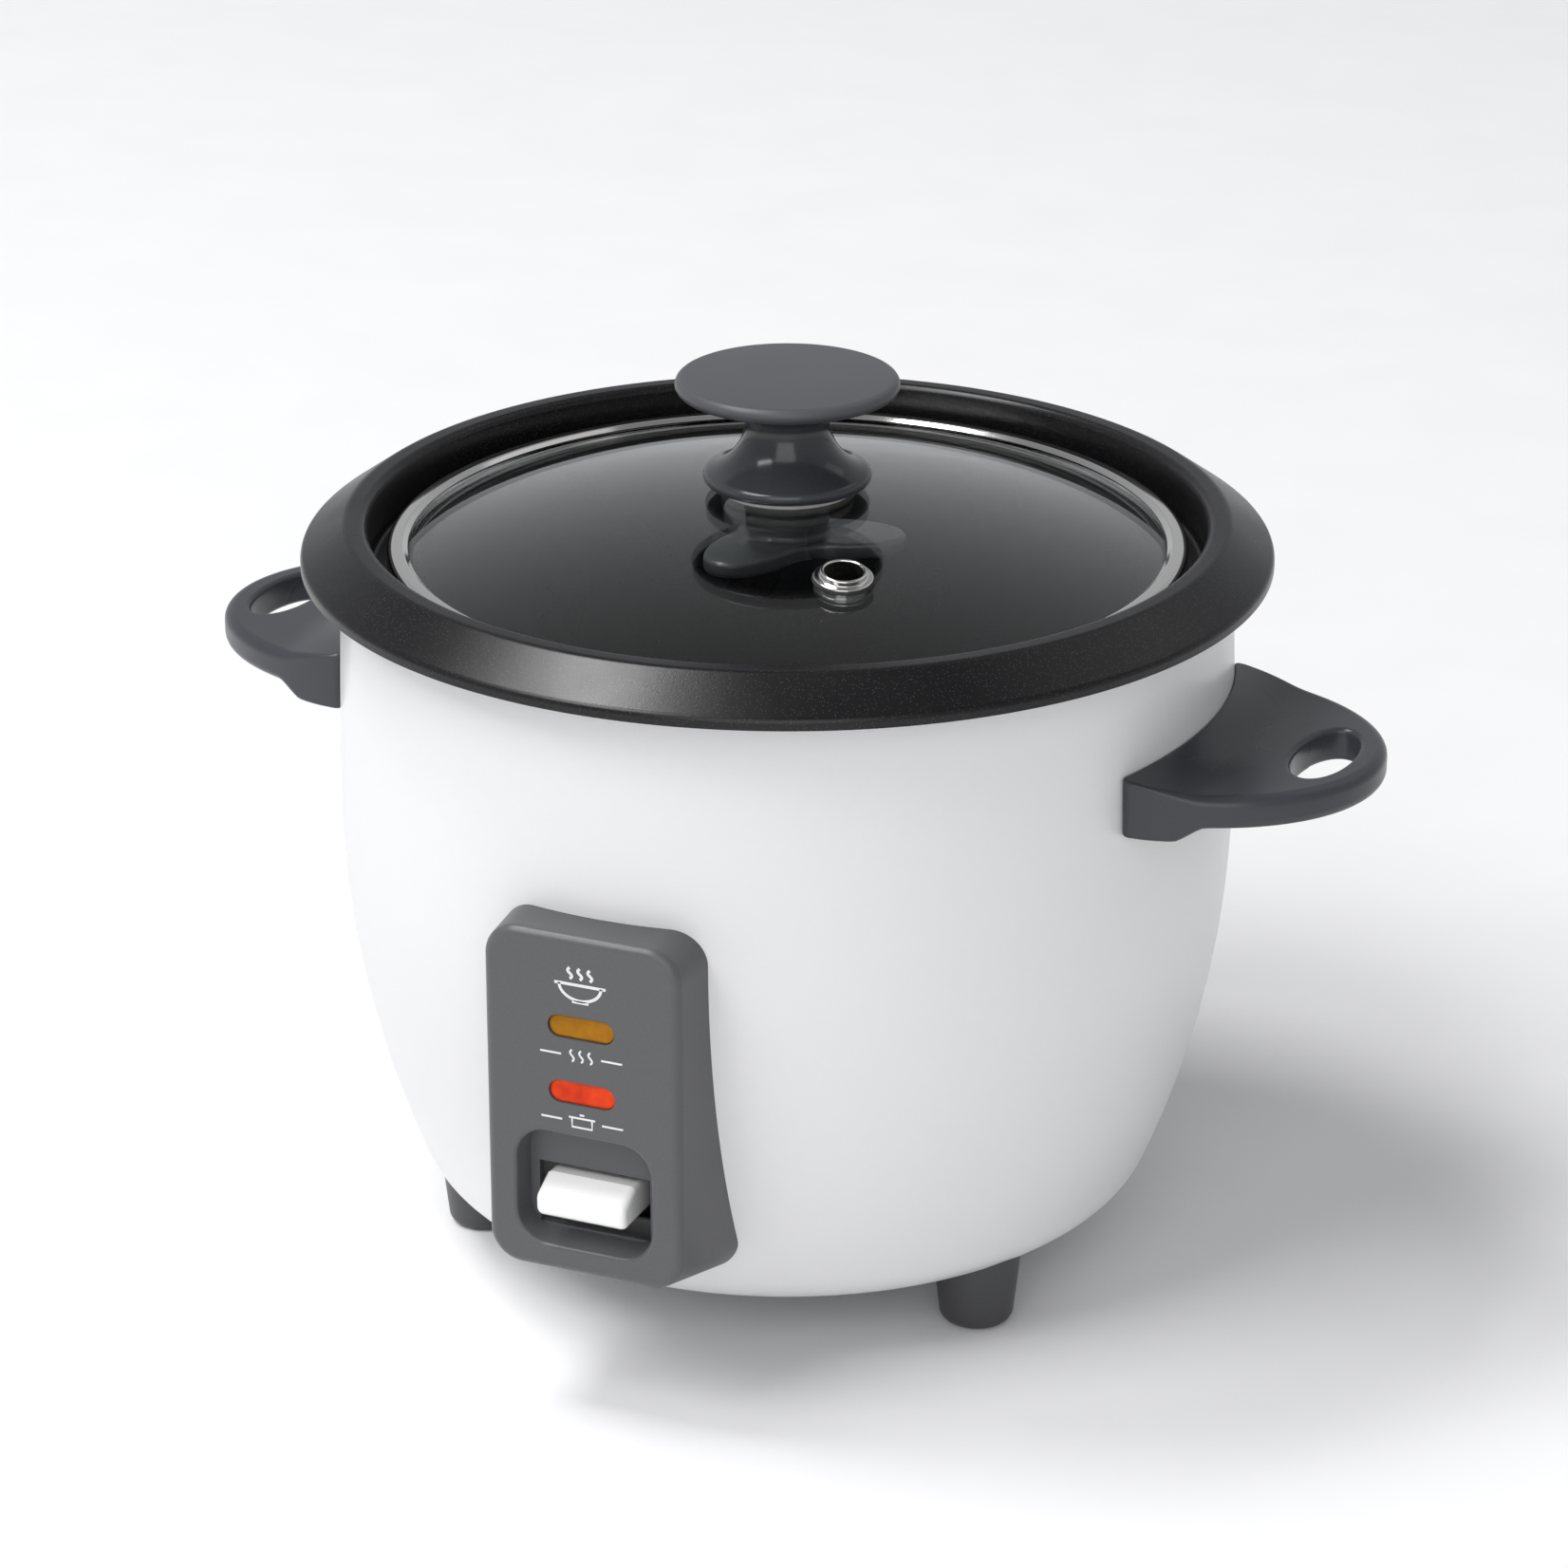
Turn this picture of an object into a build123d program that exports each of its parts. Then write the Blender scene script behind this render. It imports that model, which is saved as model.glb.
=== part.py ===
from build123d import *
import math
import os

# Rice cooker, in millimetres. +Z is up, the origin is on the table under the middle of the body,
# the control panel faces -Y and the two handles stand out along X.

# --- driving dimensions -------------------------------------------------------------------------
# painted outer shell: a bottom corner, a long side arc and a nearly upright upper arc
SHELL_SHEET = 0.8
SHELL_BOTTOM_Z = 13.6
SHELL_TOP_Z = 152.6
WAIST_RADIUS = 94.9
WAIST_Z = 100.0
CORNER_BEND = 13.0
SIDE_BEND = 208.0
UPPER_BEND = 961.0
TOP_BEND = 1.6
BOTTOM_OPENING_RADIUS = 50.0
TOP_OPENING_RADIUS = 91.0

# inner pot
POT_SHEET = 1.3
POT_RADIUS = 79.7
POT_FLOOR_Z = 63.3
POT_CORNER_BEND = 17.0
LEDGE_Z = 150.0
COLLAR_RADIUS = 88.0
CROWN_Z = 161.5
CROWN_RADIUS = 92.6
RIM_RADIUS = 102.0
RIM_BEND_Z = 154.9
RIM_LOW_Z = 152.8

# heat shield that hangs in the shell and holds the heating plate
LINER_SHEET = 0.7
LINER_RADIUS = 84.5
LINER_SHOULDER_Z = 147.8
LINER_NECK_RADIUS = 90.2
LINER_CONE_Z = 68.0
LINER_FLOOR_RADIUS = 68.0
LINER_FLOOR_Z = 44.0
LINER_HOLE_RADIUS = 19.0

# heating plate and element
PLATE_RADIUS = 62.0
PLATE_TOP_Z = 61.7
PLATE_UNDER_Z = 54.0
PLATE_HOLE_RADIUS = 17.0
ELEMENT_RADIUS = 44.0
ELEMENT_TUBE_RADIUS = 3.6
ELEMENT_Z = 51.4
ELEMENT_GAP_ANGLE = 28.0
LEG_CIRCLE_RADIUS = 55.5
LEG_ANGLES = (90.0, 210.0, 330.0)

# sensor in the middle of the plate
CUP_RADIUS = 15.2
CUP_SHEET = 0.8
CUP_LOW_Z = 50.0
FERRITE_LOW_Z = 56.4
FRAME_SHEET = 1.2
MAGNET_RADIUS = 10.5
MAGNET_LOW_Z = 46.6
MAGNET_HEIGHT = 3.4
ROD_RADIUS = 2.0
ROD_LOW_Z = 23.0
ROD_COLLAR_Z = 30.0

# switch lever: a bent steel arm on a pin, with a white button on its front end
PIVOT_Y = -52.0
PIVOT_Z = 32.0
PIN_RADIUS = 1.5
PIN_CLEARANCE = 0.06
ARM_SHEET = 1.5
ARM_HALF_WIDTH = 6.0
ARM_LOW_Z = 27.5
ARM_FRONT_Z = 45.8
BUTTON_HALF_WIDTH = 9.9
BUTTON_TIP_Y = -106.2
BUTTON_LOW_Z = 44.0
BUTTON_HIGH_Z = 51.9

# lid
LID_RADIUS = 84.0
LID_LOW_Z = 150.3
GLASS_SHEET = 3.6
GLASS_EDGE_RADIUS = 80.6
GLASS_EDGE_Z = 154.6
GLASS_APEX_Z = 167.2
VENT_CIRCLE_RADIUS = 47.0
VENT_ANGLE = -53.0
VENT_HOLE_RADIUS = 4.0
VENT_FLANGE_RADIUS = 6.1
KNOB_TOP_Z = 191.9
KNOB_DISC_RADIUS = 23.4
KNOB_NECK_RADIUS = 8.9
KNOB_BASE_RADIUS = 17.7
KNOB_BASE_Z = 168.4
NUT_PLATE_Z = 152.4
NUT_PLATE_HEIGHT = 3.4
NUT_MEAN_RADIUS = 17.0
NUT_LOBE_SWING = 7.0
NUT_LOBE_ANGLE = 16.0

# handles
HANDLE_CENTRE_X = 88.0
HANDLE_REACH = 131.2
HANDLE_HALF_WIDTH = 36.0
PADDLE_LOW_Z = 119.0
PADDLE_HIGH_Z = 126.0
HANDLE_RISE_Z = 129.6
HANDLE_BLOCK_Z = 115.6
HOLE_CENTRE_X = 119.3
HOLE_HALF_DEPTH = 6.0
HOLE_HALF_WIDTH = 13.8

# control panel
PANEL_FACE_Y = -104.2
PANEL_HALF_WIDTH = 21.3
PANEL_BACK_HALF_WIDTH = 23.5
PANEL_BACK_Y = -80.0
PANEL_LOW_Z = 31.8
PANEL_HIGH_Z = 106.2
PANEL_BACK_LOW_Z = 25.5
PANEL_BACK_HIGH_Z = 107.2
PANEL_WALL = 2.2
PANEL_CORNER = 7.0
LENS_LENGTH = 14.6
LENS_HEIGHT = 5.0
AMBER_Z = 86.5
RED_Z = 72.1
RECESS_HALF_WIDTH = 15.0
RECESS_LOW_Z = 37.0
RECESS_HIGH_Z = 62.6
RECESS_CORNER = 7.0
SLOT_Y = -98.7
SLOT_HALF_WIDTH = 12.3
SLOT_LOW_Z = 39.3
SLOT_HIGH_Z = 53.0

# feet and bottom cover
FOOT_CIRCLE_RADIUS = 66.7
FOOT_ANGLES = {"foot_left": 210.0, "foot_right": 330.0, "foot_rear": 90.0}
FOOT_TOP_RADIUS = 9.6
FOOT_LOW_RADIUS = 7.6
BASE_PLATE_RADIUS = 56.0
BASE_SCREW_CIRCLE = 53.0

# rear power inlet
INLET_FACE_Y = 104.0
INLET_Z = 42.0
INLET_HALF_WIDTH = 23.0
INLET_HALF_HEIGHT = 14.0
SOCKET_HALF_WIDTH = 12.2
SOCKET_HALF_HEIGHT = 8.2
SOCKET_DEPTH = 16.5

LOW = (Align.CENTER, Align.CENTER, Align.MIN)


# --- helpers ------------------------------------------------------------------------------------
def spin(section, degrees=360.0):
    """Turn a section drawn as (radius, height) about the vertical axis."""
    return revolve(Plane.XZ * section, Axis.Z, degrees)


def polygon(points):
    return make_face(Polyline(*points, close=True))


def post(radius, low_z, high_z, x=0.0, y=0.0):
    return Pos(x, y, low_z) * Cylinder(radius, high_z - low_z, align=LOW)


def block(x_range, y_range, z_range):
    """A box between two limits along each axis."""
    size = [high - low for low, high in (x_range, y_range, z_range)]
    middle = [(high + low) / 2 for low, high in (x_range, y_range, z_range)]
    return Pos(*middle) * Box(*size)


def on_circle(radius, degrees):
    angle = math.radians(degrees)
    return radius * math.cos(angle), radius * math.sin(angle)


def bent_sheet(points, bends, thickness):
    """Section of a sheet: one face follows points, and the sheet lies on the left of that path."""
    corners = [Vector(*p) for p in points]
    runs = [(b - a).normalized() for a, b in zip(corners, corners[1:])]
    sides = [Vector(-run.Y, run.X) for run in runs]
    far = [corners[0] + sides[0] * thickness]
    for corner, before, after in zip(corners[1:-1], sides, sides[1:]):
        far.append(corner + (before + after) * (thickness / (1 + before.dot(after))))
    far.append(corners[-1] + sides[-1] * thickness)
    far_bends = []
    for bend, before, after in zip(bends, runs, runs[1:]):
        turns_left = before.cross(after).Z > 0
        far_bends.append(bend - thickness if turns_left else bend + thickness)
    near_line = FilletPolyline(*corners, radius=bends)
    far_line = FilletPolyline(*far, radius=far_bends)
    ends = [Line(corners[0], far[0]), Line(corners[-1], far[-1])]
    return make_face([near_line.edges(), far_line.edges(), ends])


def screw(start, toward, head_radius, shank_radius, shank_length):
    """A pan-head screw: the head's underside is at start and the shank runs along toward."""
    head_height = 0.6 * head_radius
    head = Pos(0, 0, -head_height) * Cylinder(head_radius, head_height, align=LOW)
    head = fillet(head.edges().group_by(Axis.Z)[0], 0.4 * head_height)
    for turn in (0, 90):
        cross = Rot(0, 0, turn) * Box(1.2 * head_radius, 0.25 * head_radius, head_height)
        head -= Pos(0, 0, -head_height) * cross
    shank = Cylinder(shank_radius, shank_length, align=LOW)
    return Plane(origin=start, z_dir=toward) * (head + shank)


def drill(start, toward, radius, length):
    """The straight hole that a screw or a pin goes through."""
    return Plane(origin=start, z_dir=toward) * Cylinder(radius, length, align=LOW)


def arc_about(centre, radius, start_angle, end_angle):
    """Arc of a circle about centre, angles in degrees from the radius direction."""
    points = []
    for angle in (start_angle, (start_angle + end_angle) / 2, end_angle):
        x, y = on_circle(radius, angle)
        points.append((centre[0] + x, centre[1] + y))
    return ThreePointArc(*points)


# --- outer shell --------------------------------------------------------------------------------
def shell_line(inset):
    """The shell's profile as connected edges, moved inwards by inset, from bottom to top."""
    side_centre = (WAIST_RADIUS - SIDE_BEND, WAIST_Z)
    corner_z = SHELL_BOTTOM_Z + CORNER_BEND
    reach = SIDE_BEND - CORNER_BEND
    drop = corner_z - WAIST_Z
    corner_centre = (side_centre[0] + math.sqrt(reach**2 - drop**2), corner_z)
    meeting_angle = math.degrees(math.asin(drop / reach))
    upper_centre = (WAIST_RADIUS - UPPER_BEND, WAIST_Z)
    top_bend_z = SHELL_TOP_Z - TOP_BEND
    upper_angle = math.degrees(math.asin((top_bend_z - WAIST_Z) / UPPER_BEND))
    upper_end = Vector(*on_circle(UPPER_BEND, upper_angle)) + Vector(*upper_centre)
    top_centre = (upper_end.X - TOP_BEND, top_bend_z)
    floor_z = SHELL_BOTTOM_Z + inset
    corner = arc_about(corner_centre, CORNER_BEND - inset, -90, meeting_angle)
    side = arc_about(side_centre, SIDE_BEND - inset, meeting_angle, 0)
    upper = arc_about(upper_centre, UPPER_BEND - inset, 0, upper_angle)
    top = arc_about(top_centre, TOP_BEND - inset, 0, 90)
    floor = Line((BOTTOM_OPENING_RADIUS, floor_z), corner @ 0)
    shoulder = Line(upper @ 1, top @ 0)
    flange = Line(top @ 1, (TOP_OPENING_RADIUS, SHELL_TOP_Z - inset))
    return [floor, corner, side, upper, shoulder, top, flange]


def body_blank():
    """The solid that the shell's outside encloses, for trimming what stands against it."""
    line = [edge for edge in shell_line(0.0) if edge.length > 1e-4]
    start, end = line[0] @ 0, line[-1] @ 1
    axis_low, axis_high = (0, start.Y), (0, end.Y)
    closing = [Line(start, axis_low), Line(axis_low, axis_high), Line(axis_high, end)]
    return spin(make_face(line + closing))


def outer_shell():
    outside = [edge for edge in shell_line(0.0) if edge.length > 1e-4]
    inside = [edge for edge in shell_line(SHELL_SHEET) if edge.length > 1e-4]
    ends = [Line(outside[0] @ 0, inside[0] @ 0), Line(outside[-1] @ 1, inside[-1] @ 1)]
    shell = spin(make_face(outside + inside + ends))
    panel_window = block((-14.5, 14.5), (-100, -70), (36, 96))
    shell -= fillet(panel_window.edges().filter_by(Axis.Y), 3)
    inlet_window = block((-14.4, 14.4), (70, 100), (INLET_Z - 10.4, INLET_Z + 10.4))
    shell -= fillet(inlet_window.edges().filter_by(Axis.Y), 2)
    for start, toward in handle_screw_places() + panel_screw_places() + inlet_screw_places():
        shell -= Plane(origin=start, z_dir=toward) * Cylinder(2.3, 50)
    for angle in FOOT_ANGLES.values():
        shell -= post(2.2, 10, 20, *on_circle(FOOT_CIRCLE_RADIUS, angle))
    for x, y in base_screw_places():
        shell -= post(1.9, 10, 20, x, y)
    return shell


# --- well, plate and pot ------------------------------------------------------------------------
def inner_liner():
    top_z = SHELL_TOP_Z - SHELL_SHEET
    line = [
        (91.6, top_z),
        (LINER_NECK_RADIUS, top_z),
        (LINER_NECK_RADIUS, LINER_SHOULDER_Z),
        (LINER_RADIUS, LINER_SHOULDER_Z),
        (LINER_RADIUS, LINER_CONE_Z),
        (LINER_FLOOR_RADIUS, LINER_FLOOR_Z),
        (LINER_HOLE_RADIUS, LINER_FLOOR_Z),
    ]
    liner = spin(bent_sheet(line, [1.2, 1.0, 1.5, 8.0, 5.0], LINER_SHEET))
    for angle in LEG_ANGLES:
        liner -= post(2.1, 40, 50, *on_circle(LEG_CIRCLE_RADIUS, angle))
    for x, y in element_ends():
        liner -= post(5.0, 40, 50, x, y)
    for x, y in rivet_places():
        liner -= post(1.6, 40, 50, x, y)
    return liner


def inner_pot():
    line = [
        (RIM_RADIUS, RIM_LOW_Z),
        (RIM_RADIUS, RIM_BEND_Z),
        (CROWN_RADIUS, CROWN_Z),
        (COLLAR_RADIUS, CROWN_Z),
        (COLLAR_RADIUS, LEDGE_Z),
        (POT_RADIUS, LEDGE_Z),
        (POT_RADIUS, POT_FLOOR_Z),
        (0, POT_FLOOR_Z),
    ]
    return spin(bent_sheet(line, [1.8, 2.4, 1.7, 1.4, 2.2, POT_CORNER_BEND], POT_SHEET))


def element_ends():
    half_gap = ELEMENT_GAP_ANGLE / 2
    return [on_circle(ELEMENT_RADIUS, 90 - half_gap), on_circle(ELEMENT_RADIUS, 90 + half_gap)]


def heating_element():
    """A tube bent into an open ring, with a rod at each end for the wires."""
    tube = Pos(ELEMENT_RADIUS, ELEMENT_Z) * Circle(ELEMENT_TUBE_RADIUS)
    ring = Rot(0, 0, 90 + ELEMENT_GAP_ANGLE / 2) * spin(tube, 360 - ELEMENT_GAP_ANGLE)
    for x, y in element_ends():
        ring += post(ELEMENT_TUBE_RADIUS, 40, ELEMENT_Z, x, y)
        ring += post(1.5, 34, 41, x, y)
        ring += Pos(x, y, ELEMENT_Z) * Sphere(ELEMENT_TUBE_RADIUS)
    return ring


def heating_plate(element):
    line = [
        (PLATE_HOLE_RADIUS, PLATE_UNDER_Z),
        (ELEMENT_RADIUS - 7.5, PLATE_UNDER_Z),
        (ELEMENT_RADIUS - 5.5, 46.8),
        (ELEMENT_RADIUS + 5.5, 46.8),
        (ELEMENT_RADIUS + 7.5, PLATE_UNDER_Z),
        (PLATE_RADIUS - 2, PLATE_UNDER_Z),
        (PLATE_RADIUS, PLATE_UNDER_Z + 2),
        (PLATE_RADIUS, PLATE_TOP_Z - 2),
        (PLATE_RADIUS - 2, PLATE_TOP_Z),
        (PLATE_HOLE_RADIUS, PLATE_TOP_Z),
    ]
    plate = spin(polygon(line))
    plate -= element
    for angle in LEG_ANGLES:
        plate -= post(1.9, 50, PLATE_TOP_Z - 2.5, *on_circle(LEG_CIRCLE_RADIUS, angle))
    return plate


def plate_legs():
    legs = []
    for angle in LEG_ANGLES:
        x, y = on_circle(LEG_CIRCLE_RADIUS, angle)
        leg = post(3.8, LINER_FLOOR_Z, PLATE_UNDER_Z, x, y)
        legs.append(leg - post(2.1, LINER_FLOOR_Z - 1, PLATE_UNDER_Z + 1, x, y))
    return legs


def plate_screws():
    low_z = LINER_FLOOR_Z - LINER_SHEET
    starts = [(*on_circle(LEG_CIRCLE_RADIUS, angle), low_z) for angle in LEG_ANGLES]
    return [screw(start, (0, 0, 1), 3.5, 1.9, 14) for start in starts]


# --- sensor in the middle of the plate ----------------------------------------------------------
def sensor_cup():
    line = [
        (CUP_RADIUS, CUP_LOW_Z),
        (CUP_RADIUS, PLATE_TOP_Z),
        (0, PLATE_TOP_Z),
    ]
    return spin(bent_sheet(line, [2.0], CUP_SHEET))


def ferrite_core():
    core = post(CUP_RADIUS - CUP_SHEET, FERRITE_LOW_Z, PLATE_TOP_Z - CUP_SHEET)
    core = fillet(core.edges().group_by(Axis.Z)[-1], 1.2)
    return core


def thermostat_frame():
    """Flanged guide plate that carries both springs and guides the rod."""
    plate = post(26.5, LINER_FLOOR_Z, LINER_FLOOR_Z + FRAME_SHEET)
    plate -= post(ROD_RADIUS + 0.4, LINER_FLOOR_Z - 1, LINER_FLOOR_Z + 3)
    for x, y in rivet_places()[2:]:
        plate -= post(1.6, 40, 50, x, y)
    return plate


def rivet_places():
    """Two rivets hold the lever bracket and three hold the thermostat frame."""
    bracket = [(-13.0, PIVOT_Y), (13.0, PIVOT_Y)]
    return bracket + [on_circle(23.0, angle) for angle in (0.0, 120.0, 240.0)]


def rivets():
    low_z = LINER_FLOOR_Z - LINER_SHEET
    made = []
    for index, (x, y) in enumerate(rivet_places()):
        holds_bracket = index < 2
        lower_face = low_z - ARM_SHEET if holds_bracket else low_z
        upper_face = LINER_FLOOR_Z if holds_bracket else LINER_FLOOR_Z + FRAME_SHEET
        shank = post(1.6, lower_face, upper_face, x, y)
        shank += post(2.8, lower_face - 1.0, lower_face, x, y)
        made.append(shank + post(2.8, upper_face, upper_face + 1.0, x, y))
    return made


def coil_spring(mean_radius, wire_radius, low_z, high_z, turns):
    """A round-wire spring standing between two faces, its wire ends cut flat against them."""
    rise = high_z - low_z - 2 * wire_radius
    path = Pos(0, 0, low_z + wire_radius) * Helix(rise / turns, rise, mean_radius)
    section = Plane(origin=path @ 0, z_dir=path % 0) * Circle(wire_radius)
    return sweep(section, path=path, is_frenet=True)


def magnet():
    return post(MAGNET_RADIUS, MAGNET_LOW_Z, MAGNET_LOW_Z + MAGNET_HEIGHT)


def magnet_rod():
    rod = post(ROD_RADIUS, ROD_LOW_Z, MAGNET_LOW_Z)
    rod += post(5.5, ROD_COLLAR_Z, ROD_COLLAR_Z + 1)
    return rod + post(4.6, ROD_LOW_Z + 1, ROD_LOW_Z + 2)


# --- switch lever -------------------------------------------------------------------------------
def lever_arm():
    """Bent strip seen from the side as (y, z): low inner part, slope, raised front end."""
    line = [
        (7.0, ARM_LOW_Z),
        (-69.0, ARM_LOW_Z),
        (-86.0, ARM_FRONT_Z),
        (-101.0, ARM_FRONT_Z),
    ]
    mirrored = [(-y, z) for y, z in line]
    section = bent_sheet(mirrored, [3.5, 3.0], ARM_SHEET)
    side_view = Plane(origin=(ARM_HALF_WIDTH, 0, 0), x_dir=(0, -1, 0), z_dir=(-1, 0, 0))
    arm = extrude(side_view * section, 2 * ARM_HALF_WIDTH)
    arm -= block((-ROD_RADIUS - 0.5, ROD_RADIUS + 0.5), (-3.5, 9), (20, 35))
    for side in (-1, 1):
        x_range = sorted((side * ARM_HALF_WIDTH, side * (ARM_HALF_WIDTH + 1.2)))
        ear = block(x_range, (PIVOT_Y - 5, PIVOT_Y + 5), (ARM_LOW_Z, PIVOT_Z + 4))
        arm += fillet(ear.edges().filter_by(Axis.X).group_by(Axis.Z)[-1], 3.5)
    return arm - drill((-20, PIVOT_Y, PIVOT_Z), (1, 0, 0), PIN_RADIUS + PIN_CLEARANCE, 40)


def lever_button():
    """White button: a wedge with a rounded nose, pushed over the front end of the arm."""
    side_line = [
        (-92.0, BUTTON_LOW_Z),
        (-92.0, BUTTON_HIGH_Z - 0.6),
        (-100.5, BUTTON_HIGH_Z),
        (BUTTON_TIP_Y, BUTTON_HIGH_Z - 2.9),
        (BUTTON_TIP_Y, BUTTON_LOW_Z),
    ]
    mirrored = [(-y, z) for y, z in side_line]
    side_view = Plane(origin=(BUTTON_HALF_WIDTH, 0, 0), x_dir=(0, -1, 0), z_dir=(-1, 0, 0))
    button = extrude(side_view * polygon(mirrored), 2 * BUTTON_HALF_WIDTH)
    front = button.edges().filter_by(Axis.X).group_by(Axis.Y)[0]
    button = fillet(front, 2.2)
    button = fillet(button.faces().sort_by(Axis.X)[0].edges(), 1.4)
    button = fillet(button.faces().sort_by(Axis.X)[-1].edges(), 1.4)
    return button


def lever_pin():
    return drill((-11.5, PIVOT_Y, PIVOT_Z), (1, 0, 0), PIN_RADIUS, 23)


def lever_bracket():
    """Two hanging ears outside the arm's ears, bent from a strip riveted under the liner."""
    top_z = LINER_FLOOR_Z - LINER_SHEET
    bracket = None
    for side in (-1, 1):
        ear_x = sorted((side * 7.7, side * 9.2))
        flange_x = sorted((side * 7.7, side * 16.5))
        y_range = (PIVOT_Y - 6, PIVOT_Y + 6)
        ear = block(ear_x, y_range, (PIVOT_Z - 4.5, top_z))
        half = fillet(ear.edges().filter_by(Axis.X).group_by(Axis.Z)[0], 4)
        half += block(flange_x, y_range, (top_z - ARM_SHEET, top_z))
        bracket = half if bracket is None else bracket + half
    bracket += block((-9.2, 9.2), (PIVOT_Y - 6, PIVOT_Y + 6), (top_z - ARM_SHEET, top_z))
    bracket += block((7.7, 9.2), (PIVOT_Y + 5, -28), (14.6, 30))
    for x, y in rivet_places()[:2]:
        bracket -= post(1.6, 40, 50, x, y)
    return bracket - drill((-20, PIVOT_Y, PIVOT_Z), (1, 0, 0), PIN_RADIUS, 40)


def microswitch():
    """Sealed switch on the bracket's side tab, under the arm, with three blade terminals."""
    case = block((-3.2, 7.7), (-46.5, -28.5), (14.8, 24.6))
    case = fillet(case.edges().filter_by(Axis.X), 0.6)
    case -= post(1.45, 20, 30, 0, -40)
    for y in (-43.5, -37.5, -31.5):
        case += block((-9.5, -3.2), (y - 1.6, y + 1.6), (17.0, 17.8))
    return case


def microswitch_plunger():
    plunger = post(1.4, 20.2, 27.0, 0, -40)
    return fillet(plunger.edges().group_by(Axis.Z)[-1], 0.6)


# --- control panel ------------------------------------------------------------------------------
def upright_rounded(half_width, low_z, high_z, corner, y):
    """A rounded rectangle standing at y, seen from the front."""
    size = (2 * half_width, high_z - low_z)
    face = Pos(0, (low_z + high_z) / 2) * RectangleRounded(*size, corner)
    return Plane(origin=(0, y, 0), x_dir=(1, 0, 0), z_dir=(0, -1, 0)) * face


def panel_block(shrink):
    front_y = PANEL_FACE_Y + shrink
    front = upright_rounded(
        PANEL_HALF_WIDTH - shrink,
        PANEL_LOW_Z + shrink,
        PANEL_HIGH_Z - shrink,
        PANEL_CORNER - shrink,
        front_y,
    )
    back = upright_rounded(
        PANEL_BACK_HALF_WIDTH - shrink,
        PANEL_BACK_LOW_Z + shrink,
        PANEL_BACK_HIGH_Z - shrink,
        PANEL_CORNER + 1 - shrink,
        PANEL_BACK_Y,
    )
    return loft([back, front])


def control_panel(blank):
    outside = panel_block(0)
    outside = fillet(outside.faces().sort_by(Axis.Y)[0].edges(), 2.0)
    panel = outside - panel_block(PANEL_WALL)
    tub = loft([
        upright_rounded(SLOT_HALF_WIDTH + 3.6, 35.4, 63.2, 5.5, SLOT_Y + 2),
        upright_rounded(RECESS_HALF_WIDTH + 1.6, 34.6, 64.4, 7, PANEL_FACE_Y + PANEL_WALL),
    ])
    panel += tub
    panel -= loft([
        upright_rounded(RECESS_HALF_WIDTH - 0.8, SLOT_LOW_Z - 0.6, RECESS_HIGH_Z - 1.2, 5, SLOT_Y),
        upright_rounded(RECESS_HALF_WIDTH, RECESS_LOW_Z, RECESS_HIGH_Z, RECESS_CORNER, PANEL_FACE_Y),
    ])
    mouth = panel.faces().sort_by(Axis.Y)[0].inner_wires().edges()
    panel = fillet(mouth, 0.8)
    panel -= block((-SLOT_HALF_WIDTH, SLOT_HALF_WIDTH), (-99, -90), (SLOT_LOW_Z, SLOT_HIGH_Z))
    for z in (AMBER_Z, RED_Z):
        panel -= pill(LENS_LENGTH, LENS_HEIGHT, z, PANEL_FACE_Y - 1, PANEL_FACE_Y + 4)
    for start, toward in panel_screw_places():
        panel += drill(start, toward, 3.2, 13)
    panel -= blank
    for start, toward in panel_screw_places():
        panel -= drill(start, toward, 1.5, 10)
    return panel


def pill(length, height, z, front_y, back_y):
    """A bar with round ends, centred at height z, reaching from front_y back to back_y."""
    face = Plane(origin=(0, back_y, 0), x_dir=(1, 0, 0), z_dir=(0, -1, 0))
    return extrude(face * (Pos(0, z) * SlotOverall(length, height)), back_y - front_y)


def lens(z):
    window = pill(LENS_LENGTH, LENS_HEIGHT, z, PANEL_FACE_Y + 0.5, PANEL_FACE_Y + PANEL_WALL)
    window = fillet(window.faces().sort_by(Axis.Y)[0].edges(), 0.5)
    inner_y = PANEL_FACE_Y + PANEL_WALL
    return window + pill(LENS_LENGTH + 2.6, LENS_HEIGHT + 2.6, z, inner_y, inner_y + 1.2)


def lamp_holder():
    """Clip behind the lenses with a sleeve for each lamp."""
    back_y = PANEL_FACE_Y + 14
    front_y = PANEL_FACE_Y + PANEL_WALL + 1.4
    middle = (AMBER_Z + RED_Z) / 2
    holder = block((-7.5, 7.5), (back_y - 2, back_y), (RED_Z - 6, AMBER_Z + 6))
    for z in (AMBER_Z, RED_Z):
        holder += pill(13, 8.4, z, front_y, back_y)
        holder -= drill((0, front_y - 1, z), (0, 1, 0), 3.1, 16)
    holder += block((-1, 1), (back_y - 8, back_y), (middle - 3.4, middle + 3.4))
    return holder


def indicator_lamps():
    lamps = []
    for z in (AMBER_Z, RED_Z):
        front_y = PANEL_FACE_Y + PANEL_WALL + 1.6
        bulb = drill((0, front_y + 2.4, z), (0, 1, 0), 2.6, 8)
        lamps.append(bulb + Pos(0, front_y + 2.6, z) * Sphere(2.6))
    return lamps


def panel_screw_places():
    return [((side * 15.5, -91.2, 99.0), (0, -1, 0)) for side in (-1, 1)]


def panel_screws():
    return [screw(start, toward, 2.8, 1.5, 9) for start, toward in panel_screw_places()]


# --- handles ------------------------------------------------------------------------------------
def handle_screw_places():
    places = []
    for side in (-1, 1):
        for y in (-19.0, 19.0):
            places.append(((side * 90.6, y, 121.5), (side, 0, 0)))
    return places


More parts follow.
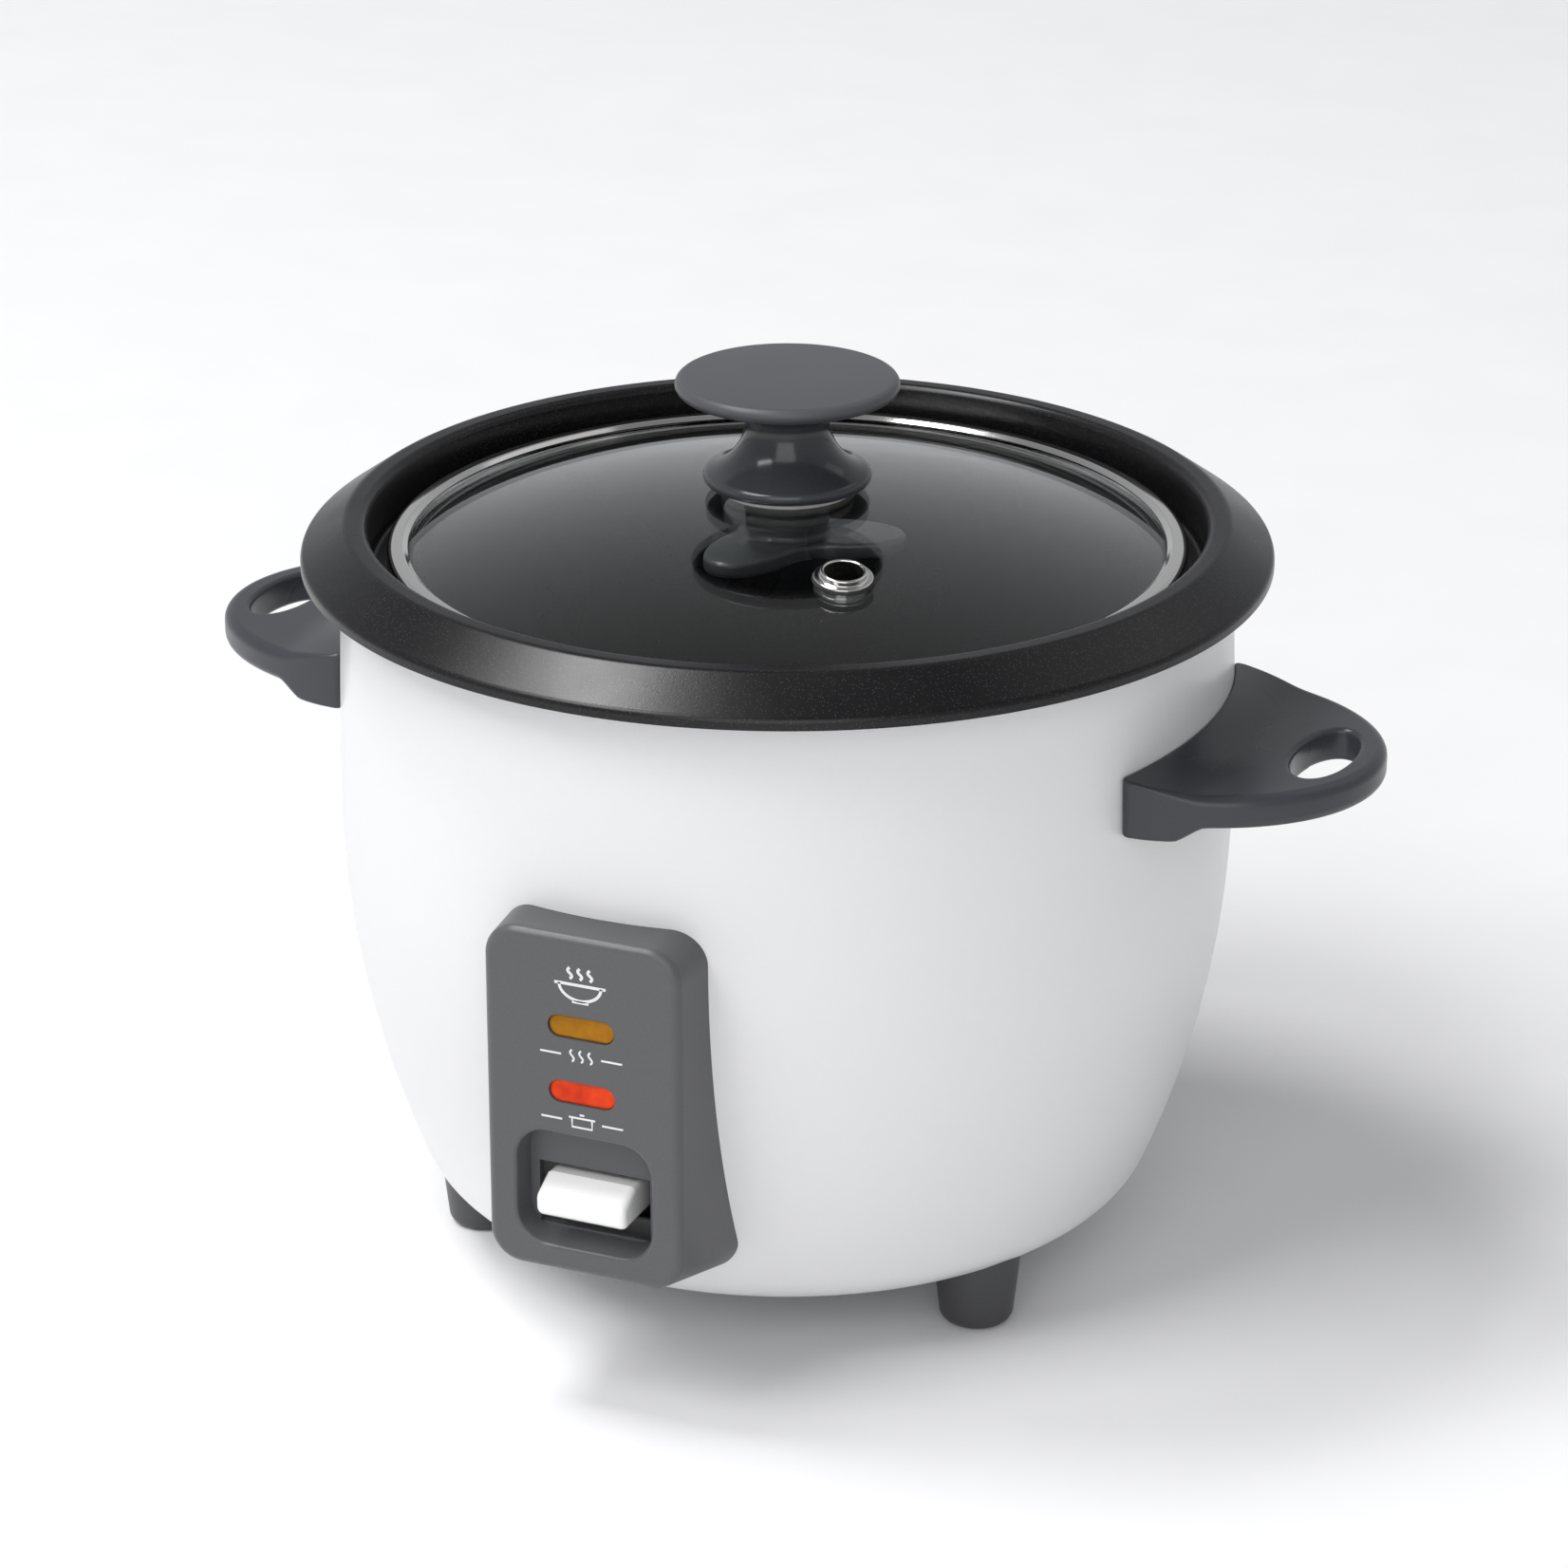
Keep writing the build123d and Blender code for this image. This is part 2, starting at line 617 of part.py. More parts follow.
def handle(blank):
    """The right-hand handle: an oval paddle with a finger hole, on a deeper foot at the body."""
    plan = Pos(HANDLE_CENTRE_X, 0) * Ellipse(HANDLE_REACH - HANDLE_CENTRE_X, HANDLE_HALF_WIDTH)
    plan &= Pos(150, 0) * Rectangle(140, 100)
    tall_plan = Pos(0, 0, HANDLE_BLOCK_Z - 1) * extrude(plan, 20)
    paddle = Pos(0, 0, PADDLE_LOW_Z) * extrude(plan, PADDLE_HIGH_Z - PADDLE_LOW_Z)
    outline = [e for e in paddle.edges() if e.center().X > HANDLE_CENTRE_X and e.length > 40]
    paddle = fillet(outline, 2.6)
    rise = make_face([
        Line((80, PADDLE_HIGH_Z - 3), (80, HANDLE_RISE_Z)),
        Line((80, HANDLE_RISE_Z), (95.2, HANDLE_RISE_Z)),
        ThreePointArc((95.2, HANDLE_RISE_Z), (98.0, PADDLE_HIGH_Z + 1.0), (103.6, PADDLE_HIGH_Z - 0.1)),
        Line((103.6, PADDLE_HIGH_Z - 0.1), (103.6, PADDLE_HIGH_Z - 3)),
        Line((103.6, PADDLE_HIGH_Z - 3), (80, PADDLE_HIGH_Z - 3)),
    ])
    solid = paddle + (spin(rise) & tall_plan)
    foot_line = FilletPolyline(
        (80, PADDLE_LOW_Z + 3),
        (80, HANDLE_BLOCK_Z),
        (98.8, HANDLE_BLOCK_Z),
        (102.6, PADDLE_LOW_Z),
        (112, PADDLE_LOW_Z),
        (112, PADDLE_LOW_Z + 3),
        radius=[0.5, 2.4, 2.4, 0.5],
    )
    foot_side = make_face([foot_line.edges(), Line(foot_line @ 1, foot_line @ 0)])
    foot = extrude(Plane.XZ * foot_side, 45, both=True)
    solid += foot & tall_plan
    hole_plan = Pos(HOLE_CENTRE_X, 0) * Ellipse(HOLE_HALF_DEPTH, HOLE_HALF_WIDTH)
    solid -= Pos(0, 0, PADDLE_LOW_Z - 5) * extrude(hole_plan, 20)
    solid = fillet(hole_rims(solid), 1.0)
    solid -= blank
    for start, toward in handle_screw_places()[2:]:
        solid -= drill(start, toward, 1.8, 13)
    return solid


def hole_rims(solid):
    """The upper and lower edges of the finger hole."""
    rims = []
    for edge in solid.edges():
        box = edge.bounding_box()
        centred = abs(box.center().X - HOLE_CENTRE_X) < 0.5 and abs(box.center().Y) < 0.5
        if centred and box.size.Z < 0.1 and abs(box.size.X - 2 * HOLE_HALF_DEPTH) < 0.5:
            rims.append(edge)
    return rims


def handle_screws():
    return [screw(start, toward, 3.4, 1.8, 12) for start, toward in handle_screw_places()]


# --- lid ----------------------------------------------------------------------------------------
def glass_radius():
    rise = GLASS_APEX_Z - GLASS_EDGE_Z
    return (GLASS_EDGE_RADIUS**2 + rise**2) / (2 * rise)


def glass_height(radius):
    """Height of the dome's upper face at a distance from the axis."""
    bend = glass_radius()
    return GLASS_APEX_Z - bend + math.sqrt(bend**2 - radius**2)


def glass_lid():
    bend = glass_radius()
    centre = (0, GLASS_APEX_Z - bend)
    edge_angle = math.degrees(math.acos(GLASS_EDGE_RADIUS / bend))
    upper = arc_about(centre, bend, edge_angle, 90)
    lower = arc_about(centre, bend - GLASS_SHEET, edge_angle, 90)
    ends = [Line(upper @ 0, lower @ 0), Line(upper @ 1, lower @ 1)]
    dome = spin(make_face([upper, lower] + ends))
    dome -= post(5.2, 150, 175)
    dome -= Plane(origin=vent_seat(), z_dir=vent_normal()) * Cylinder(5.0, 20)
    return dome


def vent_seat():
    x, y = on_circle(VENT_CIRCLE_RADIUS, VENT_ANGLE)
    return Vector(x, y, glass_height(VENT_CIRCLE_RADIUS))


def vent_normal():
    centre = Vector(0, 0, GLASS_APEX_Z - glass_radius())
    return (vent_seat() - centre).normalized()


def steam_vent():
    """Rolled steel eyelet through the glass: tube, upper flange and a smaller lower flange."""
    section = polygon([
        (VENT_HOLE_RADIUS, -GLASS_SHEET - 1.6),
        (VENT_HOLE_RADIUS, 2.4),
        (VENT_HOLE_RADIUS + 0.6, 2.4),
        (VENT_HOLE_RADIUS + 1.0, 1.4),
        (VENT_FLANGE_RADIUS, 1.0),
        (VENT_FLANGE_RADIUS, 0.6),
        (VENT_HOLE_RADIUS + 0.6, 0.6),
        (VENT_HOLE_RADIUS + 0.6, -GLASS_SHEET - 0.9),
        (VENT_FLANGE_RADIUS - 0.4, -GLASS_SHEET - 0.9),
        (VENT_FLANGE_RADIUS - 0.4, -GLASS_SHEET - 1.6),
    ])
    return Plane(origin=vent_seat(), z_dir=vent_normal()) * spin(section)


def vent_seal():
    """Rubber bush between the eyelet and the glass."""
    section = polygon([
        (VENT_HOLE_RADIUS + 0.6, -GLASS_SHEET - 0.9),
        (VENT_HOLE_RADIUS + 0.6, 0.6),
        (VENT_FLANGE_RADIUS + 0.3, 0.6),
        (VENT_FLANGE_RADIUS + 0.3, 0.1),
        (4.95, 0.1),
        (4.95, -GLASS_SHEET - 0.1),
        (VENT_FLANGE_RADIUS - 0.2, -GLASS_SHEET - 0.1),
        (VENT_FLANGE_RADIUS - 0.2, -GLASS_SHEET - 0.9),
    ])
    return Plane(origin=vent_seat(), z_dir=vent_normal()) * spin(section)


def lid_ring():
    """Stainless band folded round the edge of the glass."""
    section = polygon([
        (79.4, LID_LOW_Z),
        (82.8, LID_LOW_Z),
        (LID_RADIUS, LID_LOW_Z + 1.0),
        (LID_RADIUS, GLASS_EDGE_Z - 0.6),
        (83.0, GLASS_EDGE_Z + 0.6),
        (81.6, GLASS_EDGE_Z + 1.1),
        (77.6, GLASS_EDGE_Z + 1.8),
        (77.4, GLASS_EDGE_Z + 1.2),
        (81.0, GLASS_EDGE_Z + 0.5),
        (81.0, LID_LOW_Z + 0.6),
        (79.4, LID_LOW_Z + 0.6),
    ])
    return spin(section)


def lid_knob():
    """Grip: domed disc, waisted neck and a flared base that stands on the glass."""
    waist_z = KNOB_TOP_Z - 6.6
    underside = Line((KNOB_DISC_RADIUS - 1.6, KNOB_TOP_Z - 3.9), (KNOB_NECK_RADIUS, waist_z))
    flare = ThreePointArc(
        (KNOB_NECK_RADIUS, waist_z),
        (KNOB_NECK_RADIUS + 1.9, KNOB_BASE_Z + 7.6),
        (KNOB_BASE_RADIUS - 1.0, KNOB_BASE_Z + 2.9),
    )
    base_edge = ThreePointArc(
        (KNOB_BASE_RADIUS - 1.0, KNOB_BASE_Z + 2.9),
        (KNOB_BASE_RADIUS, KNOB_BASE_Z + 1.5),
        (KNOB_BASE_RADIUS - 1.4, KNOB_BASE_Z),
    )
    disc_edge = ThreePointArc(
        (KNOB_DISC_RADIUS - 1.6, KNOB_TOP_Z - 3.9),
        (KNOB_DISC_RADIUS, KNOB_TOP_Z - 2.0),
        (KNOB_DISC_RADIUS - 1.8, KNOB_TOP_Z - 0.6),
    )
    top = ThreePointArc(
        (KNOB_DISC_RADIUS - 1.8, KNOB_TOP_Z - 0.6),
        (KNOB_DISC_RADIUS / 2, KNOB_TOP_Z - 0.15),
        (0, KNOB_TOP_Z),
    )
    closing = [
        Line((0, KNOB_TOP_Z), (0, KNOB_BASE_Z)),
        Line((0, KNOB_BASE_Z), (KNOB_BASE_RADIUS - 1.4, KNOB_BASE_Z)),
    ]
    knob = spin(make_face([underside, flare, base_edge, disc_edge, top] + closing))
    knob -= post(2.5, KNOB_BASE_Z - 1, KNOB_BASE_Z + 13)
    return knob


def knob_washer():
    """Soft washer between the knob and the glass, dished to the dome."""
    washer = post(14.0, GLASS_APEX_Z - 3, KNOB_BASE_Z) - post(5.2, 160, 175)
    dome = Pos(0, 0, GLASS_APEX_Z - glass_radius()) * Sphere(glass_radius())
    return washer - dome


def knob_nut():
    """Three-lobed hand nut under the glass, with a round boss up to the glass."""
    outline = []
    for step in range(36):
        degrees = 10.0 * step
        turn = math.radians(3 * (degrees - NUT_LOBE_ANGLE))
        reach = NUT_MEAN_RADIUS + NUT_LOBE_SWING * math.cos(turn) + math.cos(2 * turn)
        outline.append(on_circle(reach, degrees))
    plan = make_face(Spline(*outline, periodic=True))
    plate = Pos(0, 0, NUT_PLATE_Z) * extrude(plan, NUT_PLATE_HEIGHT)
    plate = fillet(plate.edges().group_by(Axis.Z)[-1], 1.2)
    plate = fillet(plate.edges().group_by(Axis.Z)[0], 1.2)
    dome_under = Pos(0, 0, GLASS_APEX_Z - glass_radius()) * Sphere(glass_radius() - GLASS_SHEET)
    boss = post(8.75, NUT_PLATE_Z + 1, GLASS_APEX_Z) & dome_under
    boss += post(5.0, NUT_PLATE_Z + 1, GLASS_APEX_Z - 0.4)
    nut = plate + boss
    nut -= post(2.6, NUT_PLATE_Z - 1, GLASS_APEX_Z)
    return nut - post(4.6, NUT_PLATE_Z - 1, NUT_PLATE_Z + 3)


def knob_screw():
    return screw((0, 0, NUT_PLATE_Z + 3), (0, 0, 1), 4.4, 2.5, KNOB_BASE_Z + 9 - NUT_PLATE_Z)


# --- feet and bottom cover ----------------------------------------------------------------------
def foot(angle, blank):
    x, y = on_circle(FOOT_CIRCLE_RADIUS, angle)
    height = 18.0
    solid = Pos(x, y, 0) * Cone(FOOT_LOW_RADIUS, FOOT_TOP_RADIUS, height, align=LOW)
    solid = fillet(solid.edges().group_by(Axis.Z)[0], 2.6)
    solid -= post(4.0, -1, 6, x, y)
    solid -= blank
    return solid - post(2.1, 5, 20, x, y)


def foot_screws():
    starts = [(*on_circle(FOOT_CIRCLE_RADIUS, a), 6.0) for a in FOOT_ANGLES.values()]
    return [screw(start, (0, 0, 1), 3.6, 1.9, 12) for start in starts]


def base_screw_places():
    return [on_circle(BASE_SCREW_CIRCLE, angle) for angle in (30.0, 150.0, 270.0)]


def base_plate():
    plate = post(BASE_PLATE_RADIUS, SHELL_BOTTOM_Z - 0.8, SHELL_BOTTOM_Z)
    for x, y in base_screw_places():
        plate -= post(1.9, 10, 20, x, y)
    for ring_radius, count in ((22.0, 8), (36.0, 12)):
        for index in range(count):
            turned = Rot(0, 0, 360 * index / count) * Pos(ring_radius, 0, SHELL_BOTTOM_Z)
            slot = extrude(SlotOverall(9, 3, rotation=90), 3, both=True)
            plate -= turned * slot
    return plate


def base_screws():
    low_z = SHELL_BOTTOM_Z - 0.8
    return [screw((x, y, low_z), (0, 0, 1), 3.0, 1.6, 6) for x, y in base_screw_places()]


# --- power inlet and wiring ---------------------------------------------------------------------
def power_inlet(blank):
    """Rear shroud against the shell with a recessed three-pin socket."""
    x_range = (-INLET_HALF_WIDTH, INLET_HALF_WIDTH)
    z_range = (INLET_Z - INLET_HALF_HEIGHT, INLET_Z + INLET_HALF_HEIGHT)
    shroud = block(x_range, (70, INLET_FACE_Y), z_range)
    shroud = fillet(shroud.edges().filter_by(Axis.Y), 5)
    shroud = fillet(shroud.faces().sort_by(Axis.Y)[-1].edges(), 1.6)
    shroud -= blank
    insert = block((-14, 14), (INLET_FACE_Y - 24, 95), (INLET_Z - 10, INLET_Z + 10))
    shroud += fillet(insert.edges().filter_by(Axis.Y), 2)
    socket_y = (INLET_FACE_Y - SOCKET_DEPTH, INLET_FACE_Y + 1)
    socket_z = (INLET_Z - SOCKET_HALF_HEIGHT, INLET_Z + SOCKET_HALF_HEIGHT)
    socket = block((-SOCKET_HALF_WIDTH, SOCKET_HALF_WIDTH), socket_y, socket_z)
    upper_corners = socket.edges().filter_by(Axis.Y).group_by(Axis.Z)[-1]
    shroud -= chamfer(upper_corners, 4.5)
    for x, z in inlet_pin_places():
        shroud -= block((x - 1, x + 1), (70, 100), (z - 2, z + 2))
    for start, toward in inlet_screw_places():
        shroud -= drill(start, toward, 1.7, 30)
        shroud -= drill((start[0], start[1] - 0.01, start[2]), (0, 1, 0), 3.2, 4)
    return shroud


def inlet_pin_places():
    return [(-7.0, INLET_Z - 2.0), (7.0, INLET_Z - 2.0), (0.0, INLET_Z + 2.0)]


def inlet_pins():
    pins = []
    for x, z in inlet_pin_places():
        pin = block((x - 1, x + 1), (INLET_FACE_Y - 30, INLET_FACE_Y - 5.5), (z - 2, z + 2))
        pins.append(chamfer(pin.faces().sort_by(Axis.Y)[-1].edges(), 0.5))
    return pins


def inlet_screw_places():
    return [((side * 18.5, INLET_FACE_Y - 1.9, INLET_Z), (0, -1, 0)) for side in (-1, 1)]


def inlet_screws():
    return [screw(start, toward, 3.0, 1.6, 20) for start, toward in inlet_screw_places()]


def wire(points, wire_radius=1.1):
    """A lead along straight runs joined by arcs that are as large as the runs allow."""
    corners = [Vector(*p) for p in points]
    runs = [b - a for a, b in zip(corners, corners[1:])]
    bends = []
    for before, after in zip(runs, runs[1:]):
        half_turn = math.radians(before.get_angle(after)) / 2
        bends.append(0.42 * min(before.length, after.length) / math.tan(half_turn))
    path = FilletPolyline(*corners, radius=bends)
    section = Plane(origin=path @ 0, z_dir=path % 0) * Circle(wire_radius)
    return sweep(section, path=path)


def supply_wire():
    """From the inlet's right pin round the sensor to the microswitch."""
    return wire([(7, 74, 40), (7, 67, 40), (12, 58, 35), (26, 42, 28), (30, 14, 22), (22, -12, 20),
                 (6, -22, 18.5), (-10, -27, 17.6), (-11.5, -31.5, 16.4)])


def switch_wire():
    """From the microswitch back to the heating element's right end."""
    (x, y), _ = element_ends()
    return wire([(-11.5, -43.5, 16.4), (-20, -40, 18), (-27, -18, 21), (-20, 8, 24),
                 (-4, 24, 24), (6, 36, 22), (x, y, 26), (x, y, 34.0)])


def fuse_leads():
    """Two short leads from the inlet's left pin to the element, with the fuse between them."""
    x, y = element_ends()[1]
    first = wire([(-7, 74, 40), (-7, 69, 40), (-14, 70, 36), (-24, 72, 32), (-26, 66, 32),
                  (-26, 60.5, 32)], 1.0)
    second = wire([(-26, 46.5, 32), (-26, 42, 32), (-20, 38, 28), (x, y, 26), (x, y, 34)], 1.0)
    return [first, second]


def thermal_fuse():
    case = drill((-26, 46.5, 32.0), (0, 1, 0), 2.3, 14)
    return fillet(case.edges(), 0.7)


def lamp_wires():
    """A pair of thin leads from the lamps down behind the panel and under the liner."""
    leads = []
    for side, lamp_z in ((-1, AMBER_Z), (1, RED_Z)):
        leads.append(wire([
            (0, -90, lamp_z),
            (0, -88.0, lamp_z),
            (side * 6, -87.0, lamp_z - 3),
            (side * 12, -87.2, 62),
            (side * 13, -82, 48),
            (side * 15, -74, 36),
            (side * 19, -60, 26),
            (side * 23, -42, 22),
            (side * 27, -30, 22 + side),
        ], 0.7))
    return leads


# --- assembly -----------------------------------------------------------------------------------
def build_nodes():
    blank = body_blank()
    element = heating_element()
    right_handle = handle(blank)
    pins = inlet_pins()
    button = lever_button()
    arm = lever_arm()
    nodes = {
        "outer_shell": outer_shell(),
        "inner_liner": inner_liner(),
        "inner_pot": inner_pot(),
        "heating_element": element,
        "heating_plate": heating_plate(element),
        "plate_legs": plate_legs(),
        "plate_screws": plate_screws(),
        "sensor_cup": sensor_cup(),
        "ferrite_core": ferrite_core(),
        "thermostat_frame": thermostat_frame(),
        "rivets": rivets(),
        "sensor_spring": coil_spring(12.9, 0.45, 45.2, FERRITE_LOW_Z, 4.5),
        "magnet": magnet(),
        "magnet_rod": magnet_rod(),
        "magnet_spring": coil_spring(3.9, 0.35, 31.0, 44.0, 6.5),
        "lever_arm": arm,
        "lever_button": button - arm,
        "lever_pin": lever_pin(),
        "lever_bracket": lever_bracket(),
        "microswitch": microswitch(),
        "microswitch_plunger": microswitch_plunger(),
        "control_panel": control_panel(blank),
        "amber_lens": lens(AMBER_Z),
        "red_lens": lens(RED_Z),
        "lamp_holder": lamp_holder(),
        "indicator_lamps": indicator_lamps(),
        "panel_screws": panel_screws(),
        "handle_right": right_handle,
        "handle_left": right_handle.mirror(Plane.YZ),
        "handle_screws": handle_screws(),
        "glass_lid": glass_lid(),
        "lid_ring": lid_ring(),
        "steam_vent": steam_vent(),
        "vent_seal": vent_seal(),
        "lid_knob": lid_knob(),
        "knob_washer": knob_washer(),
        "knob_nut": knob_nut(),
        "knob_screw": knob_screw(),
        "foot_screws": foot_screws(),
        "base_plate": base_plate(),
        "base_screws": base_screws(),
        "power_inlet": power_inlet(blank),
        "inlet_pins": pins,
        "inlet_screws": inlet_screws(),
        "supply_wire": supply_wire(),
        "switch_wire": switch_wire(),
        "fuse_leads": fuse_leads(),
        "thermal_fuse": thermal_fuse(),
        "lamp_wires": lamp_wires(),
    }
    for name, angle in FOOT_ANGLES.items():
        nodes[name] = foot(angle, blank)
    return nodes


def write_nodes(nodes):
    os.makedirs("parts", exist_ok=True)
    for name, shape in nodes.items():
        solids = shape if isinstance(shape, list) else [shape]
        made = [solid for piece in solids for solid in piece.solids()]
        whole = made[0] if len(made) == 1 else Compound(children=made)
        export_step(whole, f"parts/{name}.step")


write_nodes(build_nodes())
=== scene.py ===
from functools import lru_cache
import math

import bmesh
import bpy
from mathutils import Matrix, Vector


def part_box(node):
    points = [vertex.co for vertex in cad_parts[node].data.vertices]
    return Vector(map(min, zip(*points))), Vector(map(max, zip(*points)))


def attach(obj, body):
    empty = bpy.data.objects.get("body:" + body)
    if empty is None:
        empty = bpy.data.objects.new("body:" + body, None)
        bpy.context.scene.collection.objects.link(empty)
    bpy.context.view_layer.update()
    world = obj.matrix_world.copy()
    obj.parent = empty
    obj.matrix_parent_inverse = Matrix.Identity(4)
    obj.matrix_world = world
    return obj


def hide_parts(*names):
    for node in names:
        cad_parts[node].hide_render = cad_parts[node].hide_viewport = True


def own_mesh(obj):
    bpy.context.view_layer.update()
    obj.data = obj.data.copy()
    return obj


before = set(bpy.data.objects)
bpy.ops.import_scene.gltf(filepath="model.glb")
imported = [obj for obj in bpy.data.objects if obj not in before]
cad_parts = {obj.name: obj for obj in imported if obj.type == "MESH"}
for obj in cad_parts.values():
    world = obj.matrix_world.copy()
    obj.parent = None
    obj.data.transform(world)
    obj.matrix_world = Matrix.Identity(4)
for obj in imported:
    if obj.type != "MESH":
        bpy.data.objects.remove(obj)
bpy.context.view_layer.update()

# Rice cooker: the looks. Lengths inside the shape functions are millimetres in the row frame, and
# each mesh is written in metres. Places come from the boxes of the CAD nodes.

MM = 0.001
scene = bpy.context.scene


@lru_cache(maxsize=None)
def corner_mm(node):
    """Lowest and highest corner of a CAD node, in millimetres."""
    low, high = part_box(node)
    return low / MM, high / MM


# --- camera, floor and light --------------------------------------------------------------------
VIEW_AZIMUTH = math.radians(23.204)
VIEW_ELEVATION = math.radians(22.464)
VIEW_DISTANCE = 1.150
VIEW_TARGET = Vector((-0.00066, -0.00028, 0.09968))
VIEW_LENS = 123.43
SENSOR_WIDTH = 36.0


def direction(azimuth, elevation):
    """Unit vector towards a place seen at that azimuth from -Y and that elevation, in radians."""
    flat = math.cos(elevation)
    return Vector((math.sin(azimuth) * flat, -math.cos(azimuth) * flat, math.sin(elevation)))


def look_from(thing, place, target):
    thing.location = place
    thing.rotation_euler = (place - target).to_track_quat("Z", "Y").to_euler()


def add_camera():
    data = bpy.data.cameras.new("photo_view")
    data.lens = VIEW_LENS
    data.sensor_width = SENSOR_WIDTH
    data.clip_start = 0.05
    data.clip_end = 50.0
    camera = bpy.data.objects.new("photo_view", data)
    scene.collection.objects.link(camera)
    back = direction(VIEW_AZIMUTH, VIEW_ELEVATION)
    look_from(camera, VIEW_TARGET + VIEW_DISTANCE * back, VIEW_TARGET)
    scene.camera = camera


def add_light(name, azimuth, elevation, distance, size, watts):
    """A soft box aimed at the cooker; azimuth in degrees, counted from -Y towards +X."""
    data = bpy.data.lights.new(name, "AREA")
    data.energy = watts
    data.size = size
    light = bpy.data.objects.new(name, data)
    scene.collection.objects.link(light)
    target = Vector((0, 0, 0.09))
    place = target + distance * direction(math.radians(azimuth), math.radians(elevation))
    look_from(light, place, target)


def add_studio():
    add_light("key_soft_box", -36, 52, 4.5, 2.1, 104.0)
    add_light("rim_box", -82, 66, 3.0, 0.85, 42.0)
    add_light("back_panel", 143, 50, 2.4, 1.3, 2.0)
    add_light("front_fill", 18, 26, 4.0, 3.0, 46.0)
    world = bpy.data.worlds.new("pale_room")
    world.use_nodes = True
    tree = world.node_tree
    split = tree.nodes.new("ShaderNodeSeparateXYZ")
    tree.links.new(tree.nodes.new("ShaderNodeTexCoord").outputs["Generated"], split.inputs["Vector"])
    walls = ramp(tree, split.outputs["Z"], (0.58, 0.59, 0.61), (0.21, 0.21, 0.215), 0.0, 0.85)
    tree.links.new(walls, tree.nodes["Background"].inputs["Color"])
    scene.world = world
    scene.view_settings.view_transform = "Standard"
    scene.view_settings.look = "None"
    mesh = bpy.data.meshes.new("studio_floor")
    reach = 8.0
    mesh.from_pydata([(-reach, -reach, 0), (reach, -reach, 0), (reach, reach, 0), (-reach, reach, 0)],
                     [], [(0, 1, 2, 3)])
    floor = bpy.data.objects.new("studio_floor", mesh)
    scene.collection.objects.link(floor)
    mesh.materials.append(grained("floor_paper", (0.86, 0.86, 0.865), 0.75, grain_mm=40.0, tint=0.01))


# --- materials ----------------------------------------------------------------------------------
def node_material(name):
    material = bpy.data.materials.new(name)
    material.use_nodes = True
    tree = material.node_tree
    return material, tree, tree.nodes["Principled BSDF"]


def noise(tree, vector, grain_mm, detail=2.0, roughness=0.5):
    node = tree.nodes.new("ShaderNodeTexNoise")
    node.inputs["Scale"].default_value = 1.0 / (grain_mm * MM)
    node.inputs["Detail"].default_value = detail
    node.inputs["Roughness"].default_value = roughness
    tree.links.new(vector, node.inputs["Vector"])
    return node.outputs["Fac"]


def ramp(tree, factor, low_colour, high_colour, low_at=0.3, high_at=0.7):
    node = tree.nodes.new("ShaderNodeValToRGB")
    node.color_ramp.elements[0].position = low_at
    node.color_ramp.elements[1].position = high_at
    node.color_ramp.elements[0].color = (*low_colour, 1.0)
    node.color_ramp.elements[1].color = (*high_colour, 1.0)
    tree.links.new(factor, node.inputs["Fac"])
    return node.outputs["Color"]


def spread(tree, factor, low, high):
    node = tree.nodes.new("ShaderNodeMapRange")
    node.inputs["From Min"].default_value = 0.3
    node.inputs["From Max"].default_value = 0.7
    node.inputs["To Min"].default_value = low
    node.inputs["To Max"].default_value = high
    tree.links.new(factor, node.inputs["Value"])
    return node.outputs["Result"]


def bump(tree, shader, height, strength, depth_mm):
    node = tree.nodes.new("ShaderNodeBump")
    node.inputs["Strength"].default_value = strength
    node.inputs["Distance"].default_value = depth_mm * MM
    tree.links.new(height, node.inputs["Height"])
    tree.links.new(node.outputs["Normal"], shader.inputs["Normal"])


def shade(colour, factor):
    return tuple(min(1.0, channel * factor) for channel in colour)


def place_vector(tree):
    return tree.nodes.new("ShaderNodeTexCoord").outputs["Object"]


def turned_vector(tree):
    """Coordinates that run (distance from the axis, height) so that grain follows the turning."""
    split = tree.nodes.new("ShaderNodeSeparateXYZ")
    tree.links.new(place_vector(tree), split.inputs["Vector"])
    flat = tree.nodes.new("ShaderNodeCombineXYZ")
    tree.links.new(split.outputs["X"], flat.inputs["X"])
    tree.links.new(split.outputs["Y"], flat.inputs["Y"])
    radius = tree.nodes.new("ShaderNodeVectorMath")
    radius.operation = "LENGTH"
    tree.links.new(flat.outputs["Vector"], radius.inputs[0])
    joined = tree.nodes.new("ShaderNodeCombineXYZ")
    tree.links.new(radius.outputs["Value"], joined.inputs["X"])
    tree.links.new(split.outputs["Z"], joined.inputs["Y"])
    return joined.outputs["Vector"]


